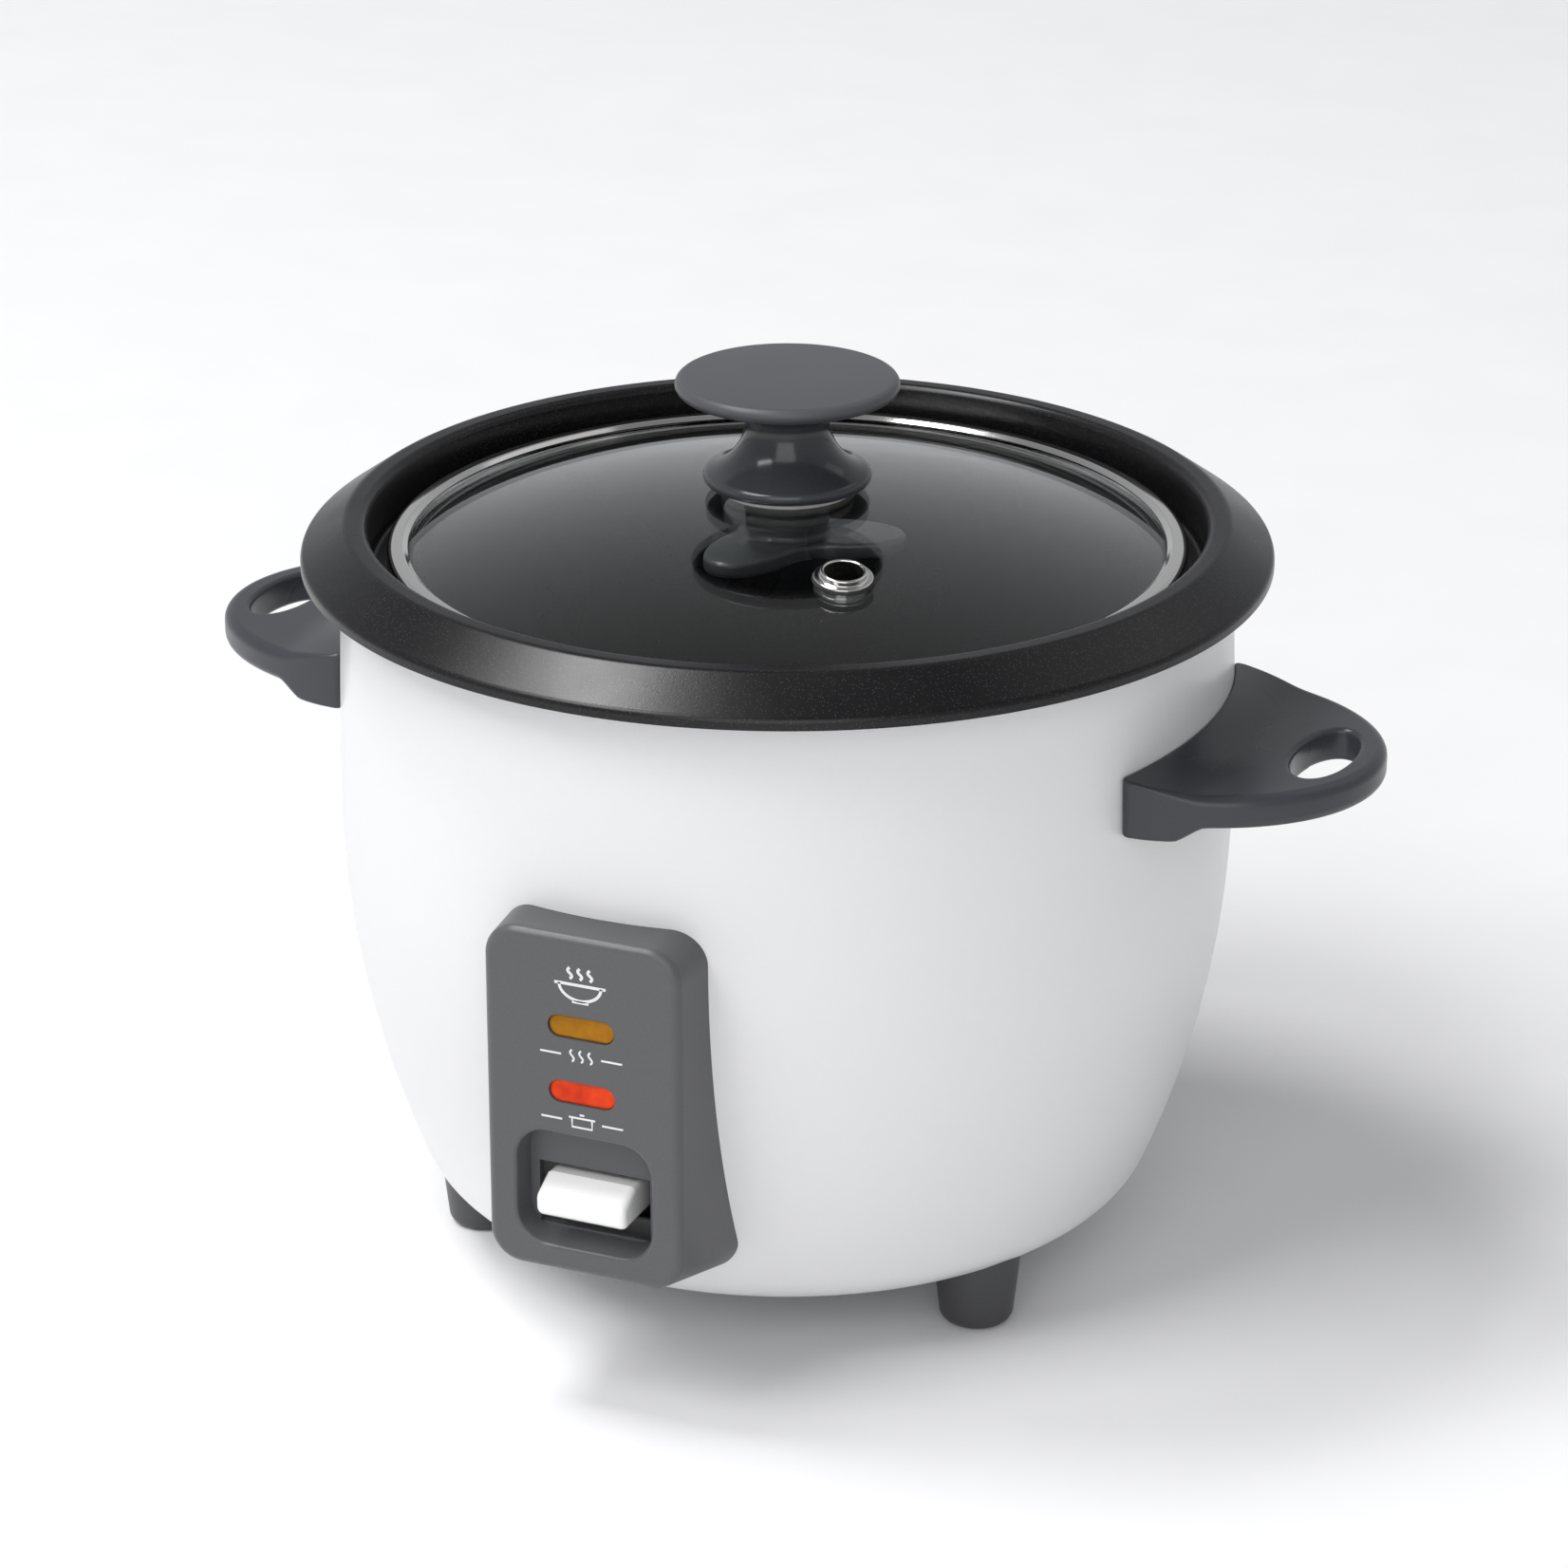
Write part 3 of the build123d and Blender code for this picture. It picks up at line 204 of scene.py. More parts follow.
def grained(name, colour, roughness, metallic=0.0, grain_mm=0.5, tint=0.06, swing=0.05,
            bump_mm=0.0, coat=0.0, turned=False, specular=0.5, detail=2.0):
    """A moulded, painted or machined surface: fine variation in colour, gloss and height."""
    material, tree, shader = node_material(name)
    vector = turned_vector(tree) if turned else place_vector(tree)
    fine = noise(tree, vector, grain_mm, detail)
    broad = noise(tree, place_vector(tree), 30.0)
    tree.links.new(ramp(tree, fine, shade(colour, 1 - tint), shade(colour, 1 + tint)),
                   shader.inputs["Base Color"])
    tree.links.new(spread(tree, broad, roughness - swing, roughness + swing),
                   shader.inputs["Roughness"])
    if bump_mm:
        bump(tree, shader, fine, 0.6, bump_mm)
    shader.inputs["Metallic"].default_value = metallic
    shader.inputs["Specular IOR Level"].default_value = specular
    shader.inputs["Coat Weight"].default_value = coat
    shader.inputs["Coat Roughness"].default_value = 0.12
    return material


def speckled_coating(name):
    """Black non-stick coating with fine pale flecks under a satin surface."""
    material, tree, shader = node_material(name)
    vector = place_vector(tree)
    cells = tree.nodes.new("ShaderNodeTexVoronoi")
    cells.inputs["Scale"].default_value = 1.0 / (0.55 * MM)
    tree.links.new(vector, cells.inputs["Vector"])
    fleck = ramp(tree, cells.outputs["Distance"], (0.055, 0.055, 0.057), (0.0045, 0.0045, 0.0052),
                 0.10, 0.24)
    tree.links.new(fleck, shader.inputs["Base Color"])
    fine = noise(tree, vector, 0.35, 3.0)
    broad = noise(tree, vector, 25.0)
    tree.links.new(spread(tree, broad, 0.25, 0.33), shader.inputs["Roughness"])
    bump(tree, shader, fine, 0.5, 0.035)
    shader.inputs["Specular IOR Level"].default_value = 0.36
    return material


def braided_sleeve(name, colour):
    material, tree, shader = node_material(name)
    vector = place_vector(tree)
    strands = tree.nodes.new("ShaderNodeTexWave")
    strands.bands_direction = "DIAGONAL"
    strands.inputs["Scale"].default_value = 0.35 / MM
    strands.inputs["Distortion"].default_value = 1.5
    tree.links.new(vector, strands.inputs["Vector"])
    tree.links.new(ramp(tree, strands.outputs["Fac"], shade(colour, 0.72), colour, 0.2, 0.8),
                   shader.inputs["Base Color"])
    bump(tree, shader, strands.outputs["Fac"], 0.7, 0.12)
    shader.inputs["Roughness"].default_value = 0.85
    return material


def clear_glass(name, tint, roughness, wave_mm=0.0):
    material, tree, shader = node_material(name)
    broad = noise(tree, place_vector(tree), 45.0, 1.0)
    tree.links.new(ramp(tree, broad, shade(tint, 0.985), tint), shader.inputs["Base Color"])
    tree.links.new(spread(tree, broad, roughness, roughness + 0.012), shader.inputs["Roughness"])
    if wave_mm:
        bump(tree, shader, broad, 0.4, wave_mm)
    shader.inputs["Transmission Weight"].default_value = 1.0
    shader.inputs["IOR"].default_value = 1.5
    return material


def lamp_lens(name, colour, glow, glow_colour, strength):
    """Coloured translucent plastic with fine upright ribs inside and a mottled glow."""
    material, tree, shader = node_material(name)
    vector = place_vector(tree)
    ribs = tree.nodes.new("ShaderNodeTexWave")
    ribs.bands_direction = "X"
    ribs.inputs["Scale"].default_value = 0.32 / MM / 2
    ribs.inputs["Distortion"].default_value = 0.4
    tree.links.new(vector, ribs.inputs["Vector"])
    mottled = noise(tree, vector, 3.0)
    tree.links.new(ramp(tree, mottled, shade(colour, 0.75), colour), shader.inputs["Base Color"])
    bump(tree, shader, ribs.outputs["Fac"], 0.25, 0.05)
    shader.inputs["Roughness"].default_value = 0.22
    shader.inputs["Specular IOR Level"].default_value = 0.18
    tree.links.new(ramp(tree, mottled, glow, glow_colour, 0.25, 0.75), shader.inputs["Emission Color"])
    shader.inputs["Emission Strength"].default_value = strength
    return material


PAINT = grained("white_enamel", (0.735, 0.735, 0.74), 0.34, grain_mm=1.4, tint=0.004, swing=0.03,
                bump_mm=0.006, coat=0.25)
NONSTICK = speckled_coating("speckled_nonstick")
POT_OUTSIDE = grained("spun_aluminium", (0.62, 0.62, 0.63), 0.34, metallic=1.0, grain_mm=0.25, tint=0.07,
                      turned=True, bump_mm=0.01)
KNOB_PLASTIC = grained("knob_plastic", (0.072, 0.073, 0.081), 0.40, grain_mm=0.3, tint=0.05,
                       bump_mm=0.008, swing=0.03, specular=0.4)
KNOB_GLOSS = grained("knob_neck_plastic", (0.045, 0.046, 0.053), 0.15, grain_mm=0.6, tint=0.05,
                     bump_mm=0.002, swing=0.03, specular=0.45)
HANDLE_PLASTIC = grained("handle_plastic", (0.040, 0.042, 0.049), 0.30, grain_mm=0.35, tint=0.06,
                         bump_mm=0.010, swing=0.05, specular=0.42)
PANEL_PLASTIC = grained("panel_plastic", (0.090, 0.091, 0.095), 0.36, grain_mm=0.3, tint=0.07,
                        bump_mm=0.012, swing=0.04, specular=0.42)
FOOT_PLASTIC = grained("foot_plastic", (0.050, 0.050, 0.055), 0.42, grain_mm=0.4, tint=0.07,
                       bump_mm=0.012)
NUT_PLASTIC = grained("nut_plastic", (0.066, 0.071, 0.074), 0.28, grain_mm=0.4, tint=0.06,
                      bump_mm=0.006)
BLACK_PLASTIC = grained("black_plastic", (0.020, 0.020, 0.021), 0.40, grain_mm=0.35, tint=0.12,
                        bump_mm=0.012)
WHITE_PLASTIC = grained("white_plastic", (0.86, 0.86, 0.85), 0.20, grain_mm=0.8, tint=0.01,
                        coat=0.5, swing=0.03)
POLISHED = grained("polished_stainless", (0.78, 0.77, 0.75), 0.10, metallic=1.0, grain_mm=0.18,
                   tint=0.04, turned=True, bump_mm=0.003, swing=0.03)
TIN = grained("tinned_sheet", (0.66, 0.66, 0.66), 0.30, metallic=1.0, grain_mm=0.5, tint=0.05,
              turned=True, bump_mm=0.006)
GALVANISED = grained("galvanised_sheet", (0.55, 0.57, 0.58), 0.40, metallic=1.0, grain_mm=6.0,
                     tint=0.22, bump_mm=0.010, detail=5.0)
ZINC = grained("zinc_plating", (0.68, 0.68, 0.66), 0.28, metallic=1.0, grain_mm=0.7, tint=0.06,
               bump_mm=0.008)
SPRING_WIRE = grained("spring_wire", (0.55, 0.55, 0.56), 0.24, metallic=1.0, grain_mm=0.2, tint=0.08,
                      bump_mm=0.004)
CAST = grained("machined_aluminium", (0.72, 0.72, 0.73), 0.36, metallic=1.0, grain_mm=0.22, tint=0.10,
               turned=True, bump_mm=0.02)
SHEATH = grained("heater_sheath", (0.34, 0.33, 0.32), 0.50, metallic=1.0, grain_mm=1.5, tint=0.15,
                 bump_mm=0.02)
SENSOR_METAL = grained("drawn_aluminium", (0.74, 0.74, 0.75), 0.30, metallic=1.0, grain_mm=0.25,
                       tint=0.06, turned=True, bump_mm=0.01)
FERRITE = grained("sintered_ferrite", (0.045, 0.045, 0.048), 0.62, grain_mm=0.5, tint=0.25,
                  bump_mm=0.03)
BRASS = grained("nickel_brass", (0.72, 0.68, 0.56), 0.22, metallic=1.0, grain_mm=0.6, tint=0.05,
                bump_mm=0.004)
RUBBER = grained("soft_rubber", (0.018, 0.018, 0.018), 0.72, grain_mm=0.5, tint=0.2, bump_mm=0.02)
SILICONE = grained("milky_silicone", (0.62, 0.61, 0.58), 0.46, grain_mm=0.8, tint=0.04, bump_mm=0.006)
FUSE_CASE = grained("fuse_case", (0.45, 0.45, 0.46), 0.32, metallic=0.8, grain_mm=0.5, tint=0.08,
                    bump_mm=0.01)
SLEEVE = braided_sleeve("glass_fibre_sleeve", (0.80, 0.78, 0.70))
LID_GLASS = clear_glass("tempered_glass", (0.965, 0.985, 0.975), 0.0, 0.02)
LAMP_GLASS = clear_glass("lamp_glass", (0.98, 0.93, 0.88), 0.03)
AMBER = lamp_lens("amber_lens", (0.36, 0.145, 0.001), (0.16, 0.055, 0.0), (0.26, 0.11, 0.0), 0.10)
RED = lamp_lens("red_lens", (0.55, 0.028, 0.003), (0.70, 0.030, 0.002), (1.0, 0.12, 0.008), 0.22)
MARK_INK = grained("pale_ink", (0.72, 0.72, 0.71), 0.5, grain_mm=0.25, tint=0.05)

NODE_MATERIALS = {
    "inner_liner": TIN,
    "heating_element": SHEATH,
    "heating_plate": CAST,
    "plate_legs": ZINC,
    "plate_screws": ZINC,
    "sensor_cup": SENSOR_METAL,
    "ferrite_core": FERRITE,
    "thermostat_frame": GALVANISED,
    "rivets": ZINC,
    "magnet": FERRITE,
    "magnet_rod": ZINC,
    "lever_arm": GALVANISED,
    "lever_button": WHITE_PLASTIC,
    "lever_pin": ZINC,
    "lever_bracket": GALVANISED,
    "microswitch": BLACK_PLASTIC,
    "microswitch_plunger": WHITE_PLASTIC,
    "control_panel": PANEL_PLASTIC,
    "amber_lens": AMBER,
    "red_lens": RED,
    "lamp_holder": BLACK_PLASTIC,
    "indicator_lamps": LAMP_GLASS,
    "panel_screws": ZINC,
    "handle_screws": ZINC,
    "knob_washer": SILICONE,
    "knob_screw": ZINC,
    "foot_screws": ZINC,
    "foot_left": FOOT_PLASTIC,
    "foot_right": FOOT_PLASTIC,
    "foot_rear": FOOT_PLASTIC,
    "base_plate": GALVANISED,
    "base_screws": ZINC,
    "power_inlet": BLACK_PLASTIC,
    "inlet_pins": BRASS,
    "inlet_screws": ZINC,
    "supply_wire": SLEEVE,
    "switch_wire": SLEEVE,
    "fuse_leads": SLEEVE,
    "thermal_fuse": FUSE_CASE,
    "lamp_wires": SLEEVE,
}


def dress_cad_nodes():
    for name, material in NODE_MATERIALS.items():
        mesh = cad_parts[name].data
        mesh.materials.clear()
        mesh.materials.append(material)


# --- shapes -------------------------------------------------------------------------------------
def arc(centre, radius, start, end, steps=16):
    """Points of an arc about centre in the (radius, height) plane, angles in degrees."""
    points = []
    for step in range(steps + 1):
        angle = math.radians(start + (end - start) * step / steps)
        points.append(Vector((centre[0] + radius * math.cos(angle), centre[1] + radius * math.sin(angle))))
    return points


def arc_through(first, middle, last, steps=12):
    """Points of the arc that starts at first, passes middle and ends at last."""
    (ax, ay), (bx, by), (cx, cy) = first, middle, last
    twice = 2 * (ax * (by - cy) + bx * (cy - ay) + cx * (ay - by))
    a, b, c = ax * ax + ay * ay, bx * bx + by * by, cx * cx + cy * cy
    centre_x = (a * (by - cy) + b * (cy - ay) + c * (ay - by)) / twice
    centre_y = (a * (cx - bx) + b * (ax - cx) + c * (bx - ax)) / twice
    angles = [math.degrees(math.atan2(y - centre_y, x - centre_x)) for x, y in (first, middle, last)]
    start, via, end = angles
    forward = (end - start) % 360
    sweep = forward if (via - start) % 360 < forward else forward - 360
    radius = math.hypot(ax - centre_x, ay - centre_y)
    return arc((centre_x, centre_y), radius, start, start + sweep, steps)


def rounded(corners, steps=6, closed=False):
    """Points along corners given as (radius, height, bend), each bend an arc."""
    points = []
    count = len(corners)
    for index, (r, z, bend) in enumerate(corners):
        here = Vector((r, z))
        at_end = not closed and index in (0, count - 1)
        if at_end or bend == 0:
            points.append(here)
            continue
        before = (Vector(corners[index - 1][:2]) - here).normalized()
        after = (Vector(corners[(index + 1) % count][:2]) - here).normalized()
        half = before.angle(after) / 2
        centre = here + (before + after).normalized() * (bend / math.sin(half))
        start = here + before * (bend / math.tan(half)) - centre
        end = here + after * (bend / math.tan(half)) - centre
        turn = math.atan2(start.x * end.y - start.y * end.x, start.dot(end))
        for step in range(steps + 1):
            angle = turn * step / steps
            points.append(centre + Vector((start.x * math.cos(angle) - start.y * math.sin(angle),
                                           start.x * math.sin(angle) + start.y * math.cos(angle))))
    return points


def sheet_section(points, thickness):
    """Closed outline of a sheet whose one face follows points and that lies on their left."""
    far = []
    for index, point in enumerate(points):
        before = points[max(index - 1, 0)]
        after = points[min(index + 1, len(points) - 1)]
        along = (after - before).normalized()
        moved = point + Vector((-along.y, along.x)) * thickness
        moved.x = max(moved.x, 0.0)
        far.append(moved)
    return points + far[::-1]


def lathe(name, outline, closed=False, segments=160):
    """Mesh of an outline of (radius, height) points turned about the vertical axis."""
    mesh = bpy.data.meshes.new(name)
    vertices, rings, faces = [], [], []
    for point in outline:
        on_axis = point[0] < 1e-4
        ring = []
        for index in range(1 if on_axis else segments):
            angle = 2 * math.pi * index / segments
            ring.append(len(vertices))
            vertices.append((point[0] * math.cos(angle) * MM, point[0] * math.sin(angle) * MM,
                             point[1] * MM))
        rings.append(ring)
    pairs = list(zip(rings, rings[1:]))
    if closed:
        pairs.append((rings[-1], rings[0]))
    for low, high in pairs:
        if len(low) == 1 and len(high) == 1:
            continue
        for index in range(segments):
            following = (index + 1) % segments
            corners = [low[index % len(low)], low[following % len(low)],
                       high[following % len(high)], high[index % len(high)]]
            unique = list(dict.fromkeys(corners))
            if len(unique) > 2:
                faces.append(unique)
    mesh.from_pydata(vertices, [], faces)
    return tidy(mesh)


def tidy(mesh, sharp_degrees=35.0):
    """Outward normals, smooth faces, and sharp edges only where the surface really turns."""
    work = bmesh.new()
    work.from_mesh(mesh)
    bmesh.ops.remove_doubles(work, verts=work.verts, dist=1e-7)
    bmesh.ops.recalc_face_normals(work, faces=work.faces)
    work.to_mesh(mesh)
    work.free()
    mesh.shade_smooth()
    mesh.set_sharp_from_angle(angle=math.radians(sharp_degrees))
    return mesh


def add_piece(name, mesh, material, slot, body, *replaced):
    piece = bpy.data.objects.new(name, mesh)
    scene.collection.objects.link(piece)
    mesh.materials.append(material)
    normals = piece.modifiers.new("even_normals", "WEIGHTED_NORMAL")
    normals.keep_sharp = True
    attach(piece, body)
    if replaced:
        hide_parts(*replaced)
    return piece


def cut_boxes(mesh, boxes):
    """Cuts boxes, each given by its two corners in millimetres, out of a closed mesh."""
    whole = bpy.data.objects.new("cut_whole", mesh)
    scene.collection.objects.link(whole)
    tool_mesh = bpy.data.meshes.new("cut_tool")
    work = bmesh.new()
    for low, high in boxes:
        size = [(b - a) * MM for a, b in zip(low, high)]
        middle = [(b + a) / 2 * MM for a, b in zip(low, high)]
        matrix = Matrix.Translation(middle) @ Matrix.Diagonal((*size, 1.0))
        bmesh.ops.create_cube(work, size=1.0, matrix=matrix)
    work.to_mesh(tool_mesh)
    work.free()
    return subtract(whole, tool_mesh)


def subtract(whole, tool_mesh):
    tool = bpy.data.objects.new("cut_tool", tool_mesh)
    scene.collection.objects.link(tool)
    cut = whole.modifiers.new("cut", "BOOLEAN")
    cut.operation = "DIFFERENCE"
    cut.solver = "EXACT"
    cut.object = tool
    bpy.context.view_layer.update()
    result = bpy.data.meshes.new_from_object(whole.evaluated_get(bpy.context.evaluated_depsgraph_get()))
    bpy.data.objects.remove(tool)
    bpy.data.objects.remove(whole)
    return tidy(result)


# --- body ---------------------------------------------------------------------------------------
SHELL_SHEET = 0.8
CORNER_BEND = 13.0
SIDE_BEND = 208.0
UPPER_BEND = 961.0
TOP_BEND = 1.6
WAIST_Z = 100.0
BOTTOM_OPENING = 50.0
TOP_OPENING = 91.0
PANEL_WINDOW = ((-14.5, -100, 36), (14.5, -70, 96))
INLET_WINDOW = ((-14.4, 70, 31.6), (14.4, 100, 52.4))


def shell_profile(inset):
    low, high = corner_mm("outer_shell")
    waist = high.x
    side_centre = (waist - SIDE_BEND, WAIST_Z)
    corner_z = low.z + CORNER_BEND
    reach = SIDE_BEND - CORNER_BEND
    drop = corner_z - WAIST_Z
    corner_centre = (side_centre[0] + math.sqrt(reach**2 - drop**2), corner_z)
    meeting = math.degrees(math.asin(drop / reach))
    upper_centre = (waist - UPPER_BEND, WAIST_Z)
    top_bend_z = high.z - TOP_BEND
    upper_end = math.degrees(math.asin((top_bend_z - WAIST_Z) / UPPER_BEND))
    upper = arc(upper_centre, UPPER_BEND - inset, 0, upper_end, 10)
    top_centre = (arc(upper_centre, UPPER_BEND, 0, upper_end, 1)[-1].x - TOP_BEND, top_bend_z)
    points = [Vector((BOTTOM_OPENING, low.z + inset))]
    points += arc(corner_centre, CORNER_BEND - inset, -90, meeting, 14)
    points += arc(side_centre, SIDE_BEND - inset, meeting, 0, 24)[1:]
    points += upper[1:]
    points += arc(top_centre, TOP_BEND - inset, 4, 90, 6)
    points.append(Vector((TOP_OPENING, high.z - inset)))
    return points


def build_shell():
    mesh = lathe("shell_skin", shell_profile(0.0) + shell_profile(SHELL_SHEET)[::-1], closed=True,
                 segments=200)
    mesh = cut_boxes(mesh, [PANEL_WINDOW, INLET_WINDOW])
    mesh.name = "shell_skin"
    add_piece("shell_skin", mesh, PAINT, "white_paint", "base", "outer_shell")


# --- pot ----------------------------------------------------------------------------------------
POT_SHEET = 1.3
POT_RADIUS = 79.7
POT_CORNER_BEND = 17.0
LEDGE_Z = 150.0
COLLAR_RADIUS = 88.0
CROWN_RADIUS = 92.6
RIM_BEND_Z = 154.9
RIM_LOW_Z = 152.8


def build_pot():
    low, high = corner_mm("inner_pot")
    floor_z = low.z + POT_SHEET
    path = rounded([
        (high.x, RIM_LOW_Z, 0),
        (high.x, RIM_BEND_Z, 1.8),
        (CROWN_RADIUS, high.z, 2.4),
        (COLLAR_RADIUS, high.z, 1.7),
        (COLLAR_RADIUS, LEDGE_Z, 1.4),
        (POT_RADIUS, LEDGE_Z, 2.2),
        (POT_RADIUS, floor_z, POT_CORNER_BEND),
        (0, floor_z, 0),
    ], steps=8)
    mesh = lathe("pot_skin", sheet_section(path, POT_SHEET), closed=True, segments=240)
    add_piece("pot_skin", mesh, NONSTICK, "nonstick_black", "pot", "inner_pot")
    mesh.materials.append(POT_OUTSIDE)
    for face in mesh.polygons:
        middle = face.center / MM
        radius = math.hypot(middle.x, middle.y)
        below_rim = middle.z < LEDGE_Z - 3
        outside_wall = radius > POT_RADIUS + 0.6 * POT_SHEET
        under_floor = middle.z < floor_z + POT_CORNER_BEND and face.normal.z < -0.05
        if below_rim and (outside_wall or under_floor):
            face.material_index = 1


# --- lid ----------------------------------------------------------------------------------------
GLASS_SHEET = 3.6
GLASS_EDGE_Z = 154.6
GLASS_HOLE = 5.2
VENT_CIRCLE = 47.0
VENT_ANGLE = math.radians(-53.0)
VENT_HOLE = 4.0
VENT_FLANGE = 6.1


def glass_bend():
    """Radius of the dome's upper face."""
    _, high = corner_mm("glass_lid")
    rise = high.z - GLASS_EDGE_Z
    return (high.x**2 + rise**2) / (2 * rise)


def dome_apex():
    """Height where the dome's upper face would meet the axis."""
    return corner_mm("glass_lid")[1].z


def vent_matrix():
    """Places a shape drawn on the vertical axis at the vent, square to the glass, in metres."""
    bend = glass_bend()
    height = dome_apex() - bend + math.sqrt(bend**2 - VENT_CIRCLE**2)
    seat = Vector((VENT_CIRCLE * math.cos(VENT_ANGLE), VENT_CIRCLE * math.sin(VENT_ANGLE), height))
    out = seat - Vector((0, 0, dome_apex() - bend))
    return Matrix.Translation(seat * MM) @ out.to_track_quat("Z", "Y").to_matrix().to_4x4()


def build_glass():
    _, high = corner_mm("glass_lid")
    bend = glass_bend()
    centre = (0, high.z - bend)
    edge = math.degrees(math.acos(high.x / bend))
    inner = math.degrees(math.acos(GLASS_HOLE / bend))
    upper = arc(centre, bend, edge, inner, 30)
    lower = arc(centre, bend - GLASS_SHEET, edge, inner, 30)
    mesh = lathe("glass_dome", upper + lower[::-1], closed=True, segments=200)
    hole = lathe("vent_bore", [Vector((0, -12)), Vector((5.0, -12)), Vector((5.0, 8)), Vector((0, 8))],
                 segments=64)
    hole.transform(vent_matrix())
    whole = bpy.data.objects.new("cut_whole", mesh)
    scene.collection.objects.link(whole)
    mesh = subtract(whole, hole)
    mesh.name = "glass_dome"
    add_piece("glass_dome", mesh, LID_GLASS, "tempered_glass", "lid", "glass_lid")


def build_lid_band():
    low, high = corner_mm("lid_ring")
    radius = high.x
    path = rounded([
        (radius - 4.6, low.z, 0),
        (radius, low.z, 1.1),
        (radius, high.z - 0.2, 1.5),
        (radius - 3.3, high.z - 0.1, 0.9),
        (radius - 4.4, GLASS_EDGE_Z + 0.95, 0),
    ], steps=8)
    mesh = lathe("lid_band", sheet_section(path, 0.6), closed=True, segments=240)
    add_piece("lid_band", mesh, POLISHED, "stainless", "lid", "lid_ring")


def build_vent():
    under = -GLASS_SHEET
    eyelet = rounded([
        (VENT_HOLE, under - 1.6, 0.3),
        (VENT_HOLE, 2.4, 0.35),
        (VENT_HOLE + 0.75, 2.4, 0.35),
        (VENT_HOLE + 0.9, 1.2, 0.3),
        (VENT_FLANGE, 1.15, 0.25),
        (VENT_FLANGE, 0.55, 0.2),
        (VENT_HOLE + 0.6, 0.6, 0.0),
        (VENT_HOLE + 0.6, under - 0.9, 0.0),
        (VENT_FLANGE - 0.4, under - 0.9, 0.2),
        (VENT_FLANGE - 0.4, under - 1.6, 0.25),
    ], steps=5, closed=True)
    mesh = lathe("vent_eyelet", eyelet, closed=True, segments=72)
    mesh.transform(vent_matrix())
    add_piece("vent_eyelet", mesh, POLISHED, "stainless", "lid", "steam_vent")
    bush = rounded([
        (VENT_HOLE + 0.6, under - 0.9, 0.0),
        (VENT_HOLE + 0.6, 0.6, 0.0),
        (VENT_FLANGE + 0.3, 0.6, 0.2),
        (VENT_FLANGE + 0.3, 0.1, 0.15),
        (4.95, 0.1, 0.0),
        (4.95, under - 0.1, 0.0),
        (VENT_FLANGE - 0.2, under - 0.1, 0.15),
        (VENT_FLANGE - 0.2, under - 0.9, 0.15),
    ], steps=4, closed=True)
    mesh = lathe("vent_bush", bush, closed=True, segments=72)
    mesh.transform(vent_matrix())
    add_piece("vent_bush", mesh, RUBBER, "black_rubber", "lid", "vent_seal")


KNOB_NECK = 8.9
KNOB_BASE_RADIUS = 17.7


def build_knob():
    low, high = corner_mm("lid_knob")
    disc, top_z, base_z = high.x, high.z, low.z
    waist_z = top_z - 6.6
    outline = arc_through((0, top_z), (disc / 2, top_z - 0.15), (disc - 1.8, top_z - 0.6), 14)
    outline += arc_through((disc - 1.8, top_z - 0.6), (disc, top_z - 2.0), (disc - 1.6, top_z - 3.9), 14)[1:]
    outline += rounded([
        (disc - 1.6, top_z - 3.9, 0),
        (KNOB_NECK + 2.5, waist_z + 0.45, 3.0),
        (KNOB_NECK, waist_z - 2.6, 0),
    ], steps=8)[1:]
    flare_end = (KNOB_BASE_RADIUS - 1.0, base_z + 2.9)
    outline += arc_through((KNOB_NECK, waist_z - 2.6), (KNOB_NECK + 2.1, base_z + 7.0), flare_end, 18)[1:]
    outline += arc_through(flare_end, (KNOB_BASE_RADIUS, base_z + 1.5), (KNOB_BASE_RADIUS - 1.4, base_z), 10)[1:]
    outline.append(Vector((0, base_z)))
    mesh = lathe("knob_grip", outline, segments=160)
    add_piece("knob_grip", mesh, KNOB_PLASTIC, "knob_grey", "lid", "lid_knob")
    mesh.materials.append(KNOB_GLOSS)
    for face in mesh.polygons:
        if base_z + 0.5 < face.center.z / MM < top_z - 4.0:
            face.material_index = 1


NUT_MEAN = 17.0
NUT_SWING = 7.0
NUT_LOBE = 16.0
NUT_EDGE = 1.2
NUT_THICKNESS = 3.4
NUT_EDGE_STEPS = 5
NUT_SEGMENTS = 144
NUT_RECESS = 4.6
NUT_RECESS_DEPTH = 3
NUT_BORE = 2.6
NUT_BORE_MOUTH = 5.0
BOSS_RADIUS = 8.75


def nut_reach(angle):
    turn = 3 * (angle - math.radians(NUT_LOBE))
    return NUT_MEAN + NUT_SWING * math.cos(turn) + math.cos(2 * turn)


def nut_ring(work, z, reach):
    """One ring of points at height z, its radius given for each angle by reach."""
    ring = []
    for step in range(NUT_SEGMENTS):
        angle = 2 * math.pi * step / NUT_SEGMENTS
        radius = reach(angle)
        ring.append(work.verts.new((radius * math.cos(angle) * MM, radius * math.sin(angle) * MM, z * MM)))
    return ring


